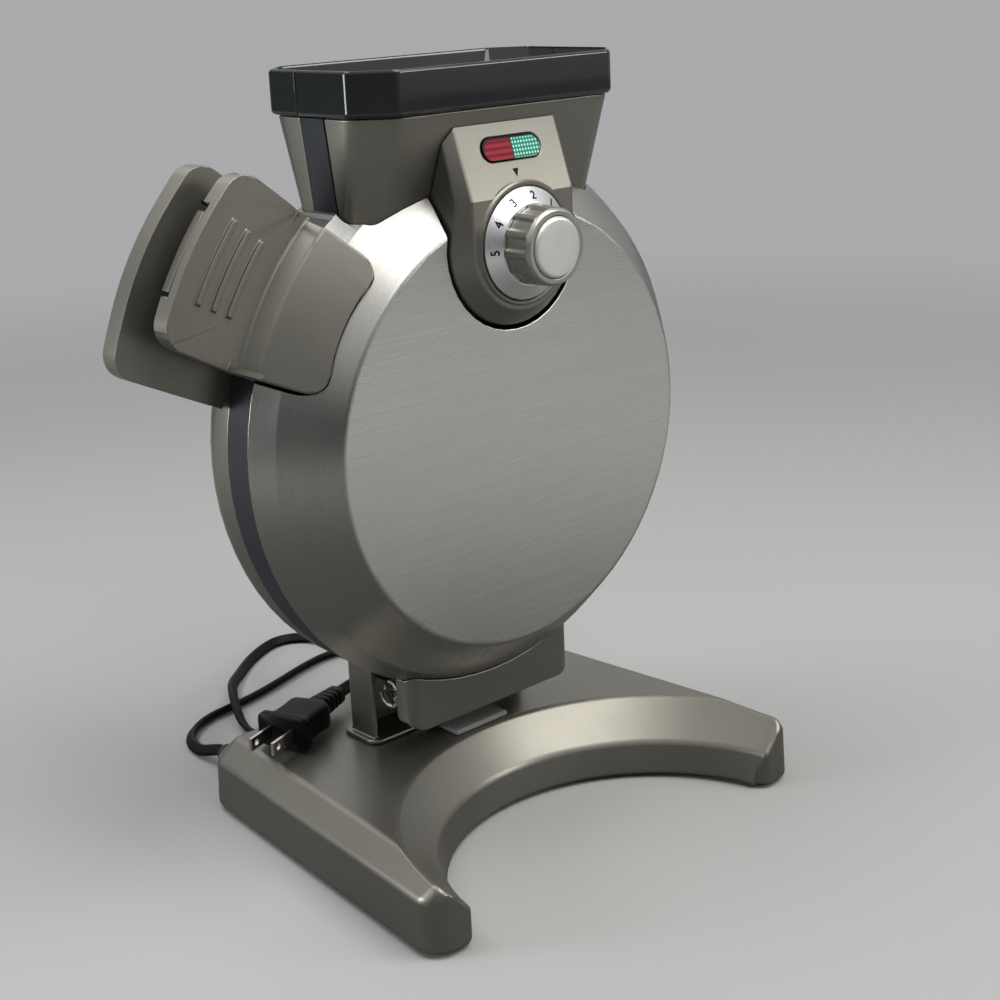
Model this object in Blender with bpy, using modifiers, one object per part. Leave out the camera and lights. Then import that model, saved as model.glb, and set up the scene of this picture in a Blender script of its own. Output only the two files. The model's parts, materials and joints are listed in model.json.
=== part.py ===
"""Vertical waffle maker: a round upright cooker that stands on a horseshoe base.

Metres, +Z up. The front, with the dial, looks along -Y and the handles are on the -X side.
The lid is the front half. It drops forward on two hinge pins below the disc.
"""

from math import asin, atan2, cos, hypot, pi, radians, sin, tan

import bmesh
import bpy
from mathutils import Matrix, Vector

# Clearances and counts
SEAT_GAP = 0.0003
RUNNING_GAP = 0.0001
TRIM_GAP = 0.0015
CUT_OVERRUN = 0.004
MERGE_DISTANCE = 0.00001
SCREW_MERGE = 0.00005
DISC_STEPS = 72
ROUND_STEPS = 32
SMALL_STEPS = 20
CORNER_STEPS = 6
FILLET_STEPS = 3
SMOOTH_ANGLE = radians(32)

# Waffle plates
PLATE_RADIUS = 0.110
PLATE_RIM_WIDTH = 0.013
PLATE_THICKNESS = 0.0020
CAVITY_HALF_DEPTH = 0.0102
PEG_HEIGHT = 0.0060
PEG_PITCH = 0.0205
PEG_BASE = 0.0125
PEG_TOP = 0.0095
SLOT_HALF_WIDTH = 0.040
PLATE_GASKET_GAP = 0.0003

# Hinge axis below the disc
HINGE_Y = 0.015
HINGE_Z = 0.067
HINGE_DROP = 0.0025

# Disc: depths are measured forward from the cover's rim, along -Y
PLATE_SEAT_WIDTH = 0.0165
FRAME_RADIUS = PLATE_RADIUS + PLATE_SEAT_WIDTH
FRAME_DEPTH = 0.0162
DISC_HEIGHT = HINGE_Z + FRAME_RADIUS + HINGE_DROP
COVER_OVERHANG = 0.0008
COVER_EDGE_WIDTH = 0.0066
COVER_CONE_WIDTH = 0.0201
COVER_RIM_RADIUS = FRAME_RADIUS + COVER_OVERHANG
COVER_SHOULDER_RADIUS = COVER_RIM_RADIUS - COVER_EDGE_WIDTH
COVER_FACE_RADIUS = COVER_SHOULDER_RADIUS - COVER_CONE_WIDTH
COVER_DEPTH = 0.0324
COVER_SHOULDER_DEPTH = 0.0114
COVER_SHEET = 0.0012
COVER_FACE_FILLET = 0.0035
COVER_SHOULDER_FILLET = 0.003
HOUSING_CONE_WIDTH = 0.0222
HOUSING_RADIUS = FRAME_RADIUS - SEAT_GAP
HOUSING_BACK_RADIUS = HOUSING_RADIUS - HOUSING_CONE_WIDTH
HOUSING_WALL_DEPTH = 0.0152
HOUSING_DEPTH = 0.0342
HOUSING_WALL = 0.0025
HOUSING_FILLET = 0.012

# Heating elements, seated on the backs of the plates
ELEMENT_RADIUS_SHARE = 0.6
ELEMENT_RADIUS = PLATE_RADIUS * ELEMENT_RADIUS_SHARE
ELEMENT_TUBE_RADIUS = 0.0033
ELEMENT_GAP_ANGLE = radians(56)
ELEMENT_POINTS = 40

# Spout and its gloss rim
NECK_RISE = 0.0185
NECK_TOP = FRAME_RADIUS + NECK_RISE
NECK_TOP_HALF_WIDTH = 0.0752
NECK_BASE_HALF_WIDTH = 0.071
NECK_WALL = 0.0025
SPOUT_FRONT_DEPTH = 0.031
SPOUT_FOOT_DEPTH = 0.0150
REAR_SPOUT_FOOT_DEPTH = 0.0175
SPOUT_FOOT_LAP = 0.006
SPOUT_FOOT = PLATE_RADIUS - SPOUT_FOOT_LAP
SPOUT_TAIL = 0.005
SPOUT_BOTTOM = SPOUT_FOOT - SPOUT_TAIL
SPOUT_CORNER = 0.0145
SPOUT_FOOT_CORNER = 0.0082
SPOUT_ROUND_SHARE = 0.9
RIM_HEIGHT = 0.019
RIM_TOP = NECK_TOP + RIM_HEIGHT
RIM_HALF_WIDTH = 0.0765
RIM_FRONT_DEPTH = 0.0335
RIM_REAR_DEPTH = 0.0338
RIM_CORNER = 0.0150
RIM_ROUND_SHARE = 0.3
RIM_EDGE = 0.0022
RIM_TOP_ROUND = 0.0012
LINER_WALL = 0.0016
LINER_TOP_HALF_WIDTH = 0.0705
LINER_TOP_DEPTH = 0.0440
LINER_REAR_TOP_DEPTH = 0.0278
LINER_CORNER = 0.0141
LINER_FOOT_RISE = 0.0005
LINER_FOOT = PLATE_RADIUS + LINER_FOOT_RISE
LINER_FOOT_HALF_WIDTH = 0.0495
LINER_FOOT_DEPTH = 0.0105
LINER_FOOT_CORNER = 0.0035
NECK_STRIP = 0.004
FRAME_GAP_HALF_WIDTH = 0.0446
REAR_FRAME_DEPTH = 0.0095

# Control pod on the front of the spout
POD_FACE_DEPTH = 0.0395
POD_HALF_WIDTH = 0.0295
POD_CREASE_DROP = 0.0377
POD_CREASE = NECK_TOP - POD_CREASE_DROP
POD_TOP_DROP = 0.0025
POD_TOP = NECK_TOP - POD_TOP_DROP
POD_TOP_DEPTH = 0.0275
POD_CHAMFER = 0.0075
POD_SLOPE_CHAMFER = 0.0050
POD_BACK_DEPTH = 0.0255
POD_TOP_SKIRT = 0.0015
POD_GAP = 0.0020
POD_ARC_STEPS = 18
DIAL_DROP = 0.0211
DIAL_HEIGHT = POD_CREASE - DIAL_DROP
DIAL_RADIUS = 0.0246
DIAL_RECESS = 0.0020
DIAL_RECESS_GAP = 0.0009
DIAL_THICKNESS = 0.0072
DIAL_OUTER_THICKNESS = 0.0028
KNOB_BASE_RADIUS = 0.0177
KNOB_FRONT_RADIUS = 0.0170
KNOB_FLUTE_LENGTH = 0.0115
KNOB_FLUTE_END = 0.0006
KNOB_COLLAR_LENGTH = 0.0008
KNOB_FLUTE_DEPTH = 0.0012
KNOB_RIBS = 12
KNOB_RIB_POINTS = 8
KNOB_NOSE = 0.0012
KNOB_CAP_RADIUS = 0.0133
KNOB_CAP_THICKNESS = 0.0024
KNOB_CAP_DOME = 0.0008
KNOB_CAP_POCKET = 0.0010
SHAFT_RADIUS = 0.003
SHAFT_BITE = 0.008
THERMOSTAT_RADIUS = 0.0105
THERMOSTAT_LENGTH = 0.014
LAMP_LENGTH = 0.034
LAMP_WIDTH = 0.0100
LAMP_POCKET = 0.0030
LAMP_HEIGHT_SHARE = 0.44
LAMP_PROUD = 0.0006

# Handles: u runs outward from the disc's axis, v along the disc's edge
HANDLE_ANGLE = radians(34.5)
HANDLE_ROOT_REACH = 0.0097
HANDLE_ROOT = COVER_RIM_RADIUS + HANDLE_ROOT_REACH
HANDLE_ROOT_HALF_WIDTH = 0.0355
HANDLE_OUTER = 0.18075
HANDLE_LENGTH = HANDLE_OUTER - HANDLE_ROOT
HANDLE_CORNER_SHARE = 0.85
HANDLE_CORNER = HANDLE_ROOT + HANDLE_LENGTH * HANDLE_CORNER_SHARE
HANDLE_CORNER_HALF_WIDTH = 0.0393
HANDLE_CORNER_RADIUS_SHARE = 0.24
HANDLE_CORNER_RADIUS = HANDLE_LENGTH * HANDLE_CORNER_RADIUS_SHARE
HANDLE_BOW_RADIUS = 0.150
HANDLE_THICKNESS = 0.010
HANDLE_FACE_DEPTH = 0.006
HANDLE_EDGE_ROUND = 0.0018
HANDLE_LAP = 0.004
BRACKET_MIDDLE_REACH = 0.0116
BRACKET_INNER_REACH = 0.0039
BRACKET_MIDDLE = COVER_FACE_RADIUS + BRACKET_MIDDLE_REACH
BRACKET_INNER = COVER_FACE_RADIUS + BRACKET_INNER_REACH
BRACKET_INNER_HALF_WIDTH = 0.0302
BRACKET_INNER_DEPTH = 0.0262
BRACKET_INNER_BOW = 0.075
BRACKET_CREST_REACH = 0.0084
BRACKET_CREST = COVER_FACE_RADIUS + BRACKET_CREST_REACH
BRACKET_SHOULDER_REACH = 0.0082
BRACKET_SHOULDER = COVER_RIM_RADIUS + BRACKET_SHOULDER_REACH
BRACKET_SHOULDER_DEPTH = 0.0140
BRACKET_FOOT_REACH = 0.0125
BRACKET_FOOT = COVER_RIM_RADIUS + BRACKET_FOOT_REACH
BRACKET_CORNER_RADIUS = 0.008
BRACKET_BACK_DEPTH = 0.0100
BRACKET_SINK = 0.0030
BRACKET_GAP = 0.0013
RIDGE_SHARES = (0.34, 0.52, 0.70)
RIDGE_HALF_ANGLE = radians(6.4)
RIDGE_WIDTH = 0.0026
RIDGE_HEIGHT = 0.0015
RIDGE_STEPS = 8
NOTCH_HALF_ANGLE = radians(6.6)
NOTCH_FLOOR_SHARE = 0.66
NOTCH_FLOOR = HANDLE_ROOT + HANDLE_LENGTH * NOTCH_FLOOR_SHARE
NOTCH_SKIN = 0.0055
REAR_HANDLE_ANGLE = radians(31.5)
REAR_HANDLE_EXTRA = 0.0067
REAR_HANDLE_OUTER = HANDLE_OUTER + REAR_HANDLE_EXTRA
REAR_HANDLE_CORNER_EXTRA = 0.0042
REAR_HANDLE_CORNER = HANDLE_CORNER + REAR_HANDLE_CORNER_EXTRA
REAR_HANDLE_CORNER_HALF_WIDTH = 0.0475
REAR_HANDLE_ROOT_HALF_WIDTH = 0.042
REAR_HANDLE_THICKNESS = 0.010
REAR_BRACKET_DEPTH = 0.0150
REAR_BRACKET_WIDTH = 0.012

# Latch lever on the front handle
LATCH_HALF_ANGLE = radians(5.9)
LATCH_INNER_SHARE = 0.80
LATCH_OUTER_SHARE = 0.88
LATCH_INNER = HANDLE_ROOT + HANDLE_LENGTH * LATCH_INNER_SHARE
LATCH_OUTER = HANDLE_ROOT + HANDLE_LENGTH * LATCH_OUTER_SHARE
LATCH_FRONT_DEPTH = -0.0044
LATCH_THICKNESS = 0.0052
LATCH_ARM_HALF_WIDTH = 0.0075
LATCH_PIVOT_SHARE = 0.34
LATCH_PIVOT = HANDLE_ROOT + HANDLE_LENGTH * LATCH_PIVOT_SHARE
LATCH_PIVOT_DEPTH = -0.0078
LATCH_BARREL_RADIUS = 0.0032
LATCH_PIN_RADIUS = 0.0014
LATCH_PIN_HALF_LENGTH = 0.0125
LATCH_EAR_WIDTH = 0.003
LATCH_EAR_RADIUS = 0.0030
LATCH_HOOK_SHARE = 0.57
LATCH_HOOK = HANDLE_ROOT + HANDLE_LENGTH * LATCH_HOOK_SHARE
LATCH_HOOK_WIDTH = 0.0034
LATCH_HOOK_HALF_WIDTH = 0.0055
LATCH_HOOK_REACH = -0.0215
LATCH_SLOT_GAP = 0.0018
LATCH_TIP_RADIUS = 0.0010
LATCH_STEPS = 8

# Lid arm in front of the pedestal
ARM_HALF_WIDTH = 0.052
ARM_FRONT_Y = -0.006
ARM_BACK_Y = 0.0062
ARM_BOTTOM = 0.0532
ARM_TOP_RISE = 0.033
ARM_TOP = HINGE_Z + ARM_TOP_RISE
ARM_WALL = 0.0022
ARM_CORNER = 0.0070
ARM_FOOT_CORNER = 0.0090

# Pins, ears and springs on the hinge axis, placed from the arm's inner sides
PIN_RADIUS = 0.0025
PIN_LENGTH = 0.0205
PIN_END_GAP = 0.0006
PIN_END = ARM_HALF_WIDTH - ARM_WALL - PIN_END_GAP
PIN_START = PIN_END - PIN_LENGTH
PIN_START_REACH = 0.0003
PEDESTAL_EAR_START = PIN_START + PIN_START_REACH
PEDESTAL_EAR_WIDTH = 0.005
PEDESTAL_EAR_RADIUS = 0.0052
EAR_GAP = 0.0015
ARM_EAR_START = PEDESTAL_EAR_START + PEDESTAL_EAR_WIDTH + EAR_GAP
ARM_EAR_WIDTH = 0.0045
ARM_EAR_RADIUS = 0.0055
EAR_WEB_SHARE = 0.93
SPRING_RADIUS = 0.0059
SPRING_WIRE_RADIUS = 0.0010
SPRING_PITCH = 0.0027
SPRING_CURLS = 3
SPRING_CURL_POINTS = 10

# Pedestal
PEDESTAL_INSET = 0.0028
PEDESTAL_HALF_WIDTH = ARM_HALF_WIDTH - PEDESTAL_INSET
PEDESTAL_FRONT_Y = 0.0285
PEDESTAL_CHEEK_Y = 0.0205
PEDESTAL_BACK_Y = 0.0480
PEDESTAL_WALL = 0.0024
PEDESTAL_STEP_Z = 0.0755
PEDESTAL_TOP_RISE = 0.043
PEDESTAL_TOP = HINGE_Z + PEDESTAL_TOP_RISE
PEDESTAL_CORNER = 0.0025
FOOT_FLANGE_HEIGHT = 0.0022
FOOT_FLANGE_REACH = 0.0035
FOOT_FLANGE_FRONT_Y = 0.0250
FOOT_FLANGE_CORNER = 0.006

# Base
BASE_HEIGHT = 0.037
BASE_BOTTOM = 0.0022
BASE_WALL_TOP = 0.0265
BASE_DRAFT = 0.0012
BASE_FACET = 0.0115
BASE_REAR_Y = 0.0985
BASE_CORNER_STEPS = 6
BASE_REAR_CORNER = 0.014
BASE_FRONT_CORNER = 0.012
DISH_Y = HINGE_Y + HINGE_Z - DISC_HEIGHT
DISH_WALL_HEIGHT = 0.019
DISH_FOOT_INSET = 0.0046
DISH_DRAFT = 0.0035
DISH_FLARE = 0.0181
DISH_FOOT_RADIUS = COVER_FACE_RADIUS - DISH_FOOT_INSET
DISH_WALL_RADIUS = DISH_FOOT_RADIUS + DISH_DRAFT
DISH_RIM_RADIUS = DISH_WALL_RADIUS + DISH_FLARE
TIP_WIDTH = 0.0029
TIP_REACH = 0.017
TIP_ROUND = 0.007
TIP_WALL_SHARE = 0.57
BASE_TAPER = 0.0177
BASE_FRONT_HALF_WIDTH = DISH_RIM_RADIUS + TIP_WIDTH
BASE_REAR_HALF_WIDTH = BASE_FRONT_HALF_WIDTH - BASE_TAPER
BASE_FRONT_Y = DISH_Y + TIP_REACH
TRAY_MARGIN = 0.004
TRAY_THICKNESS = 0.0025
TRAY_LIP = 0.0008
FOOT_RADIUS = 0.0065
FOOT_SIDE_INSET = 0.0165
FOOT_REAR_SIDE_INSET = 0.0148
FOOT_FRONT_INSET = 0.021
FOOT_REAR_INSET = 0.0185
FOOT_FRONT_X = BASE_FRONT_HALF_WIDTH - FOOT_SIDE_INSET
FOOT_FRONT_Y = BASE_FRONT_Y + FOOT_FRONT_INSET
FOOT_REAR_X = BASE_REAR_HALF_WIDTH - FOOT_REAR_SIDE_INSET
FOOT_REAR_Y = BASE_REAR_Y - FOOT_REAR_INSET
PAD_HALF_WIDTH = 0.0168
PAD_FRONT_Y = 0.0044
PAD_BACK_Y = 0.0240
PAD_THICKNESS = 0.0026
PAD_BEVEL = 0.0006

# Cord, plug and strain relief
CORD_RADIUS = 0.0032
GLAND_X = -0.0765
GLAND_Z = 0.0100
GLAND_LENGTH = 0.024
GLAND_ROOT_RADIUS = 0.0075
GLAND_TIP_RADIUS = 0.0052
GLAND_STEPS = 16
PLUG_X = -0.0850
PLUG_Y = 0.0555
PLUG_Z = 0.0465
PLUG_ANGLE = radians(20)
PLUG_FLANGE_HALF_WIDTH = 0.0145
PLUG_FLANGE_HALF_HEIGHT = 0.0088
PLUG_FLANGE_LENGTH = 0.0045
PLUG_WAIST_HALF_WIDTH = 0.0118
PLUG_WAIST_HALF_HEIGHT = 0.0072
PLUG_BODY_LENGTH = 0.026
PLUG_TAIL_HALF_WIDTH = 0.0062
PLUG_TAIL_HALF_HEIGHT = 0.0052
PLUG_BOOT_LENGTH = 0.020
PLUG_FLANGE_SLOPE_SHARE = 1.3
PLUG_SHOULDER_SHARE = 1.15
PLUG_TIP_WIDTH_SHARE = 0.75
PLUG_TIP_HEIGHT_SHARE = 0.8
PLUG_CORNER_SHARE = 0.45
BLADE_SPACING = 0.0127
BLADE_LENGTH = 0.0170
BLADE_WIDTH = 0.00635
BLADE_THICKNESS = 0.0015
BLADE_HOLE_RADIUS = 0.0016
BLADE_HOLE_INSET = 0.0038

# The cord's route from the strain relief to the plug: x, y, and how high its middle lies
CORD_ROUTE = (
    (-0.0765, 0.1232, 0.0100),
    (-0.0765, 0.1290, 0.0100),
    (-0.0768, 0.1375, 0.0072),
    (-0.0770, 0.1480, 0.0040),
    (-0.0745, 0.1600, 0.0035),
    (-0.0680, 0.1700, 0.0035),
    (-0.0590, 0.1770, 0.0035),
    (-0.0485, 0.1812, 0.0035),
    (-0.0375, 0.1830, 0.0035),
    (-0.0250, 0.1846, 0.0035),
    (-0.0100, 0.1878, 0.0035),
    (0.0075, 0.1930, 0.0035),
    (0.0270, 0.1992, 0.0035),
    (0.0450, 0.2030, 0.0035),
    (0.0600, 0.2020, 0.0035),
    (0.0780, 0.1960, 0.0035),
    (0.0960, 0.1880, 0.0035),
    (0.1120, 0.1800, 0.0035),
    (0.1240, 0.1690, 0.0035),
    (0.1300, 0.1540, 0.0035),
    (0.1270, 0.1380, 0.0035),
    (0.1150, 0.1270, 0.0035),
    (0.0990, 0.1260, 0.0035),
    (0.0850, 0.1340, 0.0035),
    (0.0765, 0.1480, 0.0035),
    (0.0725, 0.1640, 0.0040),
    (0.0700, 0.1800, 0.0078),
    (0.0680, 0.1970, 0.0108),
    (0.0655, 0.2130, 0.0078),
    (0.0610, 0.2290, 0.0042),
    (0.0530, 0.2405, 0.0035),
    (0.0420, 0.2442, 0.0035),
    (0.0300, 0.2410, 0.0035),
    (0.0130, 0.2315, 0.0035),
    (-0.0030, 0.2185, 0.0040),
    (-0.0180, 0.2030, 0.0072),
    (-0.0290, 0.1870, 0.0106),
    (-0.0372, 0.1720, 0.0092),
    (-0.0425, 0.1585, 0.0052),
    (-0.0440, 0.1470, 0.0036),
    (-0.0415, 0.1345, 0.0035),
    (-0.0335, 0.1235, 0.0035),
    (-0.0210, 0.1165, 0.0035),
    (-0.0060, 0.1150, 0.0035),
    (0.0090, 0.1168, 0.0035),
    (0.0230, 0.1215, 0.0044),
    (0.0370, 0.1245, 0.0086),
    (0.0500, 0.1225, 0.0172),
    (0.0610, 0.1150, 0.0285),
    (0.0675, 0.1040, 0.0372),
    (0.0690, 0.0920, 0.0412),
    (0.0650, 0.0805, 0.0408),
    (0.0560, 0.0725, 0.0405),
    (0.0430, 0.0690, 0.0405),
    (0.0280, 0.0700, 0.0405),
    (0.0130, 0.0730, 0.0407),
    (-0.0010, 0.0775, 0.0426),
    (-0.0125, 0.0793, 0.0450),
    (-0.0235, 0.0775, 0.0463),
)
CORD_STEP = 0.0130
CORD_STRAIGHT = 0.0055

# Colour, roughness and metallic share of each finish
TAUPE = ((0.185, 0.170, 0.140), 0.42, 0.35)
STEEL = ((0.60, 0.59, 0.57), 0.28, 1.0)
GLOSS_BLACK = ((0.018, 0.021, 0.024), 0.10, 0.0)
DARK_BAND = ((0.026, 0.031, 0.042), 0.45, 0.0)
CAST_BLACK = ((0.030, 0.030, 0.031), 0.55, 0.0)
ELEMENT_METAL = ((0.20, 0.20, 0.19), 0.45, 1.0)
SILVER = ((0.72, 0.73, 0.74), 0.30, 0.8)
SATIN_CAP = ((0.56, 0.59, 0.54), 0.30, 0.6)
GRIP_GREY = ((0.30, 0.31, 0.30), 0.40, 0.3)
RED_LENS = ((0.36, 0.010, 0.022), 0.14, 0.0)
GREEN_LENS = ((0.06, 0.36, 0.28), 0.14, 0.0)
PIN_STEEL = ((0.55, 0.55, 0.55), 0.25, 1.0)
SPRING_STEEL = ((0.62, 0.62, 0.62), 0.18, 1.0)
RUBBER = ((0.020, 0.020, 0.021), 0.75, 0.0)
PALE_PAD = ((0.40, 0.41, 0.39), 0.55, 0.0)
CORD_BLACK = ((0.014, 0.014, 0.015), 0.42, 0.0)
NICKEL = ((0.66, 0.64, 0.58), 0.22, 1.0)
BAKELITE = ((0.25, 0.23, 0.20), 0.60, 0.0)


def clear_scene():
    for old in list(bpy.data.objects):
        bpy.data.objects.remove(old, do_unlink=True)


def new_collection(name):
    found = bpy.data.collections.new(name)
    bpy.context.scene.collection.children.link(found)
    return found


clear_scene()
PARTS = new_collection("waffle_maker")
CUTTERS = new_collection("cutters")


def new_empty(name, parent=None, location=(0, 0, 0), rotation=(0, 0, 0)):
    """An empty that carries parts. Location and rotation are in its parent's frame."""
    empty = bpy.data.objects.new(name, None)
    PARTS.objects.link(empty)
    empty.parent = parent
    empty.location = location
    empty.rotation_euler = rotation
    return empty


MACHINE = new_empty("machine")
DISC = new_empty("disc_axis", MACHINE, (0, 0, DISC_HEIGHT), (pi / 2, 0, 0))
LID_PIVOT = new_empty("lid_pivot", MACHINE, (0, HINGE_Y, HINGE_Z))
LID = new_empty("lid_axis", LID_PIVOT, (0, -HINGE_Y, DISC_HEIGHT - HINGE_Z), (pi / 2, 0, 0))
DIAL = new_empty("dial_pivot", LID, (0, DIAL_HEIGHT, POD_FACE_DEPTH))
HANDLE = new_empty("handle_axis", LID, (0, 0, 0), (0, 0, pi - HANDLE_ANGLE))
REAR_HANDLE = new_empty("rear_handle_axis", DISC, (0, 0, 0), (0, 0, pi - REAR_HANDLE_ANGLE))
LATCH = new_empty("latch_pivot", HANDLE, (LATCH_PIVOT, 0, LATCH_PIVOT_DEPTH))


def paint(obj, finish):
    """Give an object its own material with the finish's colour, roughness and metal."""
    colour, roughness, metallic = finish
    material = bpy.data.materials.new(obj.name + "_finish")
    material.use_nodes = True
    shader = material.node_tree.nodes["Principled BSDF"]
    shader.inputs["Base Color"].default_value = (*colour, 1.0)
    shader.inputs["Roughness"].default_value = roughness
    shader.inputs["Metallic"].default_value = metallic
    obj.data.materials.clear()
    obj.data.materials.append(material)


def shade(mesh):
    mesh.shade_smooth()
    mesh.set_sharp_from_angle(angle=SMOOTH_ANGLE)


def add_object(name, mesh, parent, finish=None):
    """Link a mesh as a part, or as a hidden cutter when it has no finish."""
    obj = bpy.data.objects.new(name, mesh)
    obj.parent = parent
    if finish is None:
        CUTTERS.objects.link(obj)
        obj.hide_render = True
        obj.display_type = "WIRE"
    else:
        PARTS.objects.link(obj)
        paint(obj, finish)
        shade(mesh)
    return obj


def mesh_from(name, bm):
    mesh = bpy.data.meshes.new(name)
    bmesh.ops.recalc_face_normals(bm, faces=bm.faces)
    bm.to_mesh(mesh)
    bm.free()
    return mesh


def box(name, low, high, parent, finish=None):
    bm = bmesh.new()
    size = Vector(high) - Vector(low)
    middle = (Vector(high) + Vector(low)) / 2
    matrix = Matrix.Translation(middle) @ Matrix.Diagonal((*size, 1))
    bmesh.ops.create_cube(bm, size=1, matrix=matrix)
    return add_object(name, mesh_from(name, bm), parent, finish)


def rod(name, start, end, radius, parent, finish=None, steps=ROUND_STEPS, end_radius=None):
    """A round bar or cone from one point to another."""
    bm = bmesh.new()
    start = Vector(start)
    end = Vector(end)
    axis = end - start
    turn = Vector((0, 0, 1)).rotation_difference(axis).to_matrix().to_4x4()
    matrix = Matrix.Translation((start + end) / 2) @ turn
    last = radius if end_radius is None else end_radius
    bmesh.ops.create_cone(bm, cap_ends=True, segments=steps, radius1=radius, radius2=last,
                          depth=axis.length, matrix=matrix)
    return add_object(name, mesh_from(name, bm), parent, finish)


def arc(centre, radius, start, end, steps):
    """Points along a circle's arc, both ends included."""
    angles = [start + (end - start) * i / steps for i in range(steps + 1)]
    return [(centre[0] + radius * cos(a), centre[1] + radius * sin(a)) for a in angles]


def rounded(corners, steps=CORNER_STEPS):
    """A closed outline whose corners, given as (x, y, radius), are filleted."""
    points = []
    count = len(corners)
    for i, (x, y, radius) in enumerate(corners):
        here = Vector((x, y))
        before = (Vector(corners[i - 1][:2]) - here).normalized()
        after = (Vector(corners[(i + 1) % count][:2]) - here).normalized()
        half = before.angle(after) / 2
        if radius <= 0 or half > pi / 2 - MERGE_DISTANCE:
            points.append((x, y))
            continue
        reach = radius / tan(half)
        centre = here + (before + after).normalized() * radius / sin(half)
        first = here + before * reach - centre
        last = here + after * reach - centre
        start = atan2(first.y, first.x)
        sweep = (atan2(last.y, last.x) - start + pi) % (2 * pi) - pi
        points += arc(centre, radius, start, start + sweep, steps)
    return points


def turned(name, profile, parent, finish=None, steps=DISC_STEPS, closed=False):
    """Turn a profile of (radius, depth) points about the local Z axis."""
    mesh = bpy.data.meshes.new(name)
    edges = [(i, i + 1) for i in range(len(profile) - 1)]
    if closed:
        edges.append((len(profile) - 1, 0))
    mesh.from_pydata([(r, 0, z) for r, z in profile], edges, [])
    obj = add_object(name, mesh, parent, finish)
    screw = obj.modifiers.new("turn", "SCREW")
    screw.axis = "Z"
    screw.steps = steps
    screw.render_steps = steps
    screw.use_merge_vertices = True
    screw.merge_threshold = SCREW_MERGE
    screw.use_smooth_shade = True
    return obj


def curve_mesh(curve_object):
    """Make a curve a mesh, with its caps welded, and remove the curve."""
    bpy.context.view_layer.update()
    graph = bpy.context.evaluated_depsgraph_get()
    mesh = bpy.data.meshes.new_from_object(curve_object.evaluated_get(graph))
    bm = bmesh.new()
    bm.from_mesh(mesh)
    bmesh.ops.remove_doubles(bm, verts=bm.verts, dist=MERGE_DISTANCE)
    bmesh.ops.recalc_face_normals(bm, faces=bm.faces)
    bm.to_mesh(mesh)
    bm.free()
    bpy.data.objects.remove(curve_object, do_unlink=True)
    return mesh


def board(name, outlines, low, high, parent, finish=None):
    """A flat plate with the given outlines, between two depths along local Z."""
    curve = bpy.data.curves.new(name + "_outline", "CURVE")
    curve.dimensions = "2D"
    curve.fill_mode = "BOTH"
    curve.extrude = (high - low) / 2
    for outline in outlines:
        spline = curve.splines.new("POLY")
        spline.points.add(len(outline) - 1)
        for point, (x, y) in zip(spline.points, outline):
            point.co = (x, y, 0, 1)
        spline.use_cyclic_u = True
    drawn = bpy.data.objects.new(name + "_outline", curve)
    PARTS.objects.link(drawn)
    mesh = curve_mesh(drawn)
    mesh.transform(Matrix.Translation((0, 0, (high + low) / 2)))
    return add_object(name, mesh, parent, finish)


def tube(name, points, radius, parent, finish, resolution=2):
    """A round tube along points, left as a curve with filled caps."""
    curve = bpy.data.curves.new(name, "CURVE")
    curve.dimensions = "3D"
    curve.bevel_depth = radius
    curve.bevel_resolution = resolution
    curve.use_fill_caps = True
    spline = curve.splines.new("POLY")
    spline.points.add(len(points) - 1)
    for point, place in zip(spline.points, points):
        point.co = (*place, 1)
    obj = bpy.data.objects.new(name, curve)
    obj.parent = parent
    PARTS.objects.link(obj)
    paint(obj, finish)
    return obj


def loft(name, rings, parent, finish=None, folded=False):
    """Skin closed rings of equal counts and cap both ends.

    A folded end has one flat face between its first two and last two points, and another for
    the rest.
    """
    bm = bmesh.new()
    rows = [[bm.verts.new(point) for point in ring] for ring in rings]
    count = len(rings[0])
    for low, high in zip(rows, rows[1:]):
        for i in range(count):
            j = (i + 1) % count
            bm.faces.new((low[i], low[j], high[j], high[i]))
    for row in (rows[0], rows[-1]):
        if folded:
            bm.faces.new((row[0], row[1], row[-2], row[-1]))
            bm.faces.new(row[1:-1])
        else:
            bm.faces.new(row)
    return add_object(name, mesh_from(name, bm), parent, finish)


def boolean(obj, other, operation):
    modifier = obj.modifiers.new(operation.lower(), "BOOLEAN")
    modifier.operation = operation
    modifier.solver = "EXACT"
    modifier.object = other


def cut(obj, *cutters):
    for cutter in cutters:
        boolean(obj, cutter, "DIFFERENCE")
    return obj


def join(obj, *pieces):
    for piece in pieces:
        boolean(obj, piece, "UNION")
    return obj


def bevel(obj, width, segments=2):
    modifier = obj.modifiers.new("edge", "BEVEL")
    modifier.width = width
    modifier.segments = segments
    modifier.limit_method = "ANGLE"
    modifier.angle_limit = SMOOTH_ANGLE
    modifier.use_clamp_overlap = True
    return obj


def fillet_profile(points, radii):
    """An open profile with its inner corners filleted: one radius for each inner point."""
    line = [points[0]]
    for i, radius in enumerate(radii, start=1):
        here = Vector(points[i])
        before = (Vector(points[i - 1]) - here).normalized()
        after = (Vector(points[i + 1]) - here).normalized()
        half = before.angle(after) / 2
        if radius <= 0:
            line.append(points[i])
            continue
        reach = radius / tan(half)
        centre = here + (before + after).normalized() * radius / sin(half)
        first = here + before * reach - centre
        last = here + after * reach - centre
        start = atan2(first.y, first.x)
        sweep = (atan2(last.y, last.x) - start + pi) % (2 * pi) - pi
        line += arc(centre, radius, start, start + sweep, FILLET_STEPS)
    line.append(points[-1])
    return line


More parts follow.
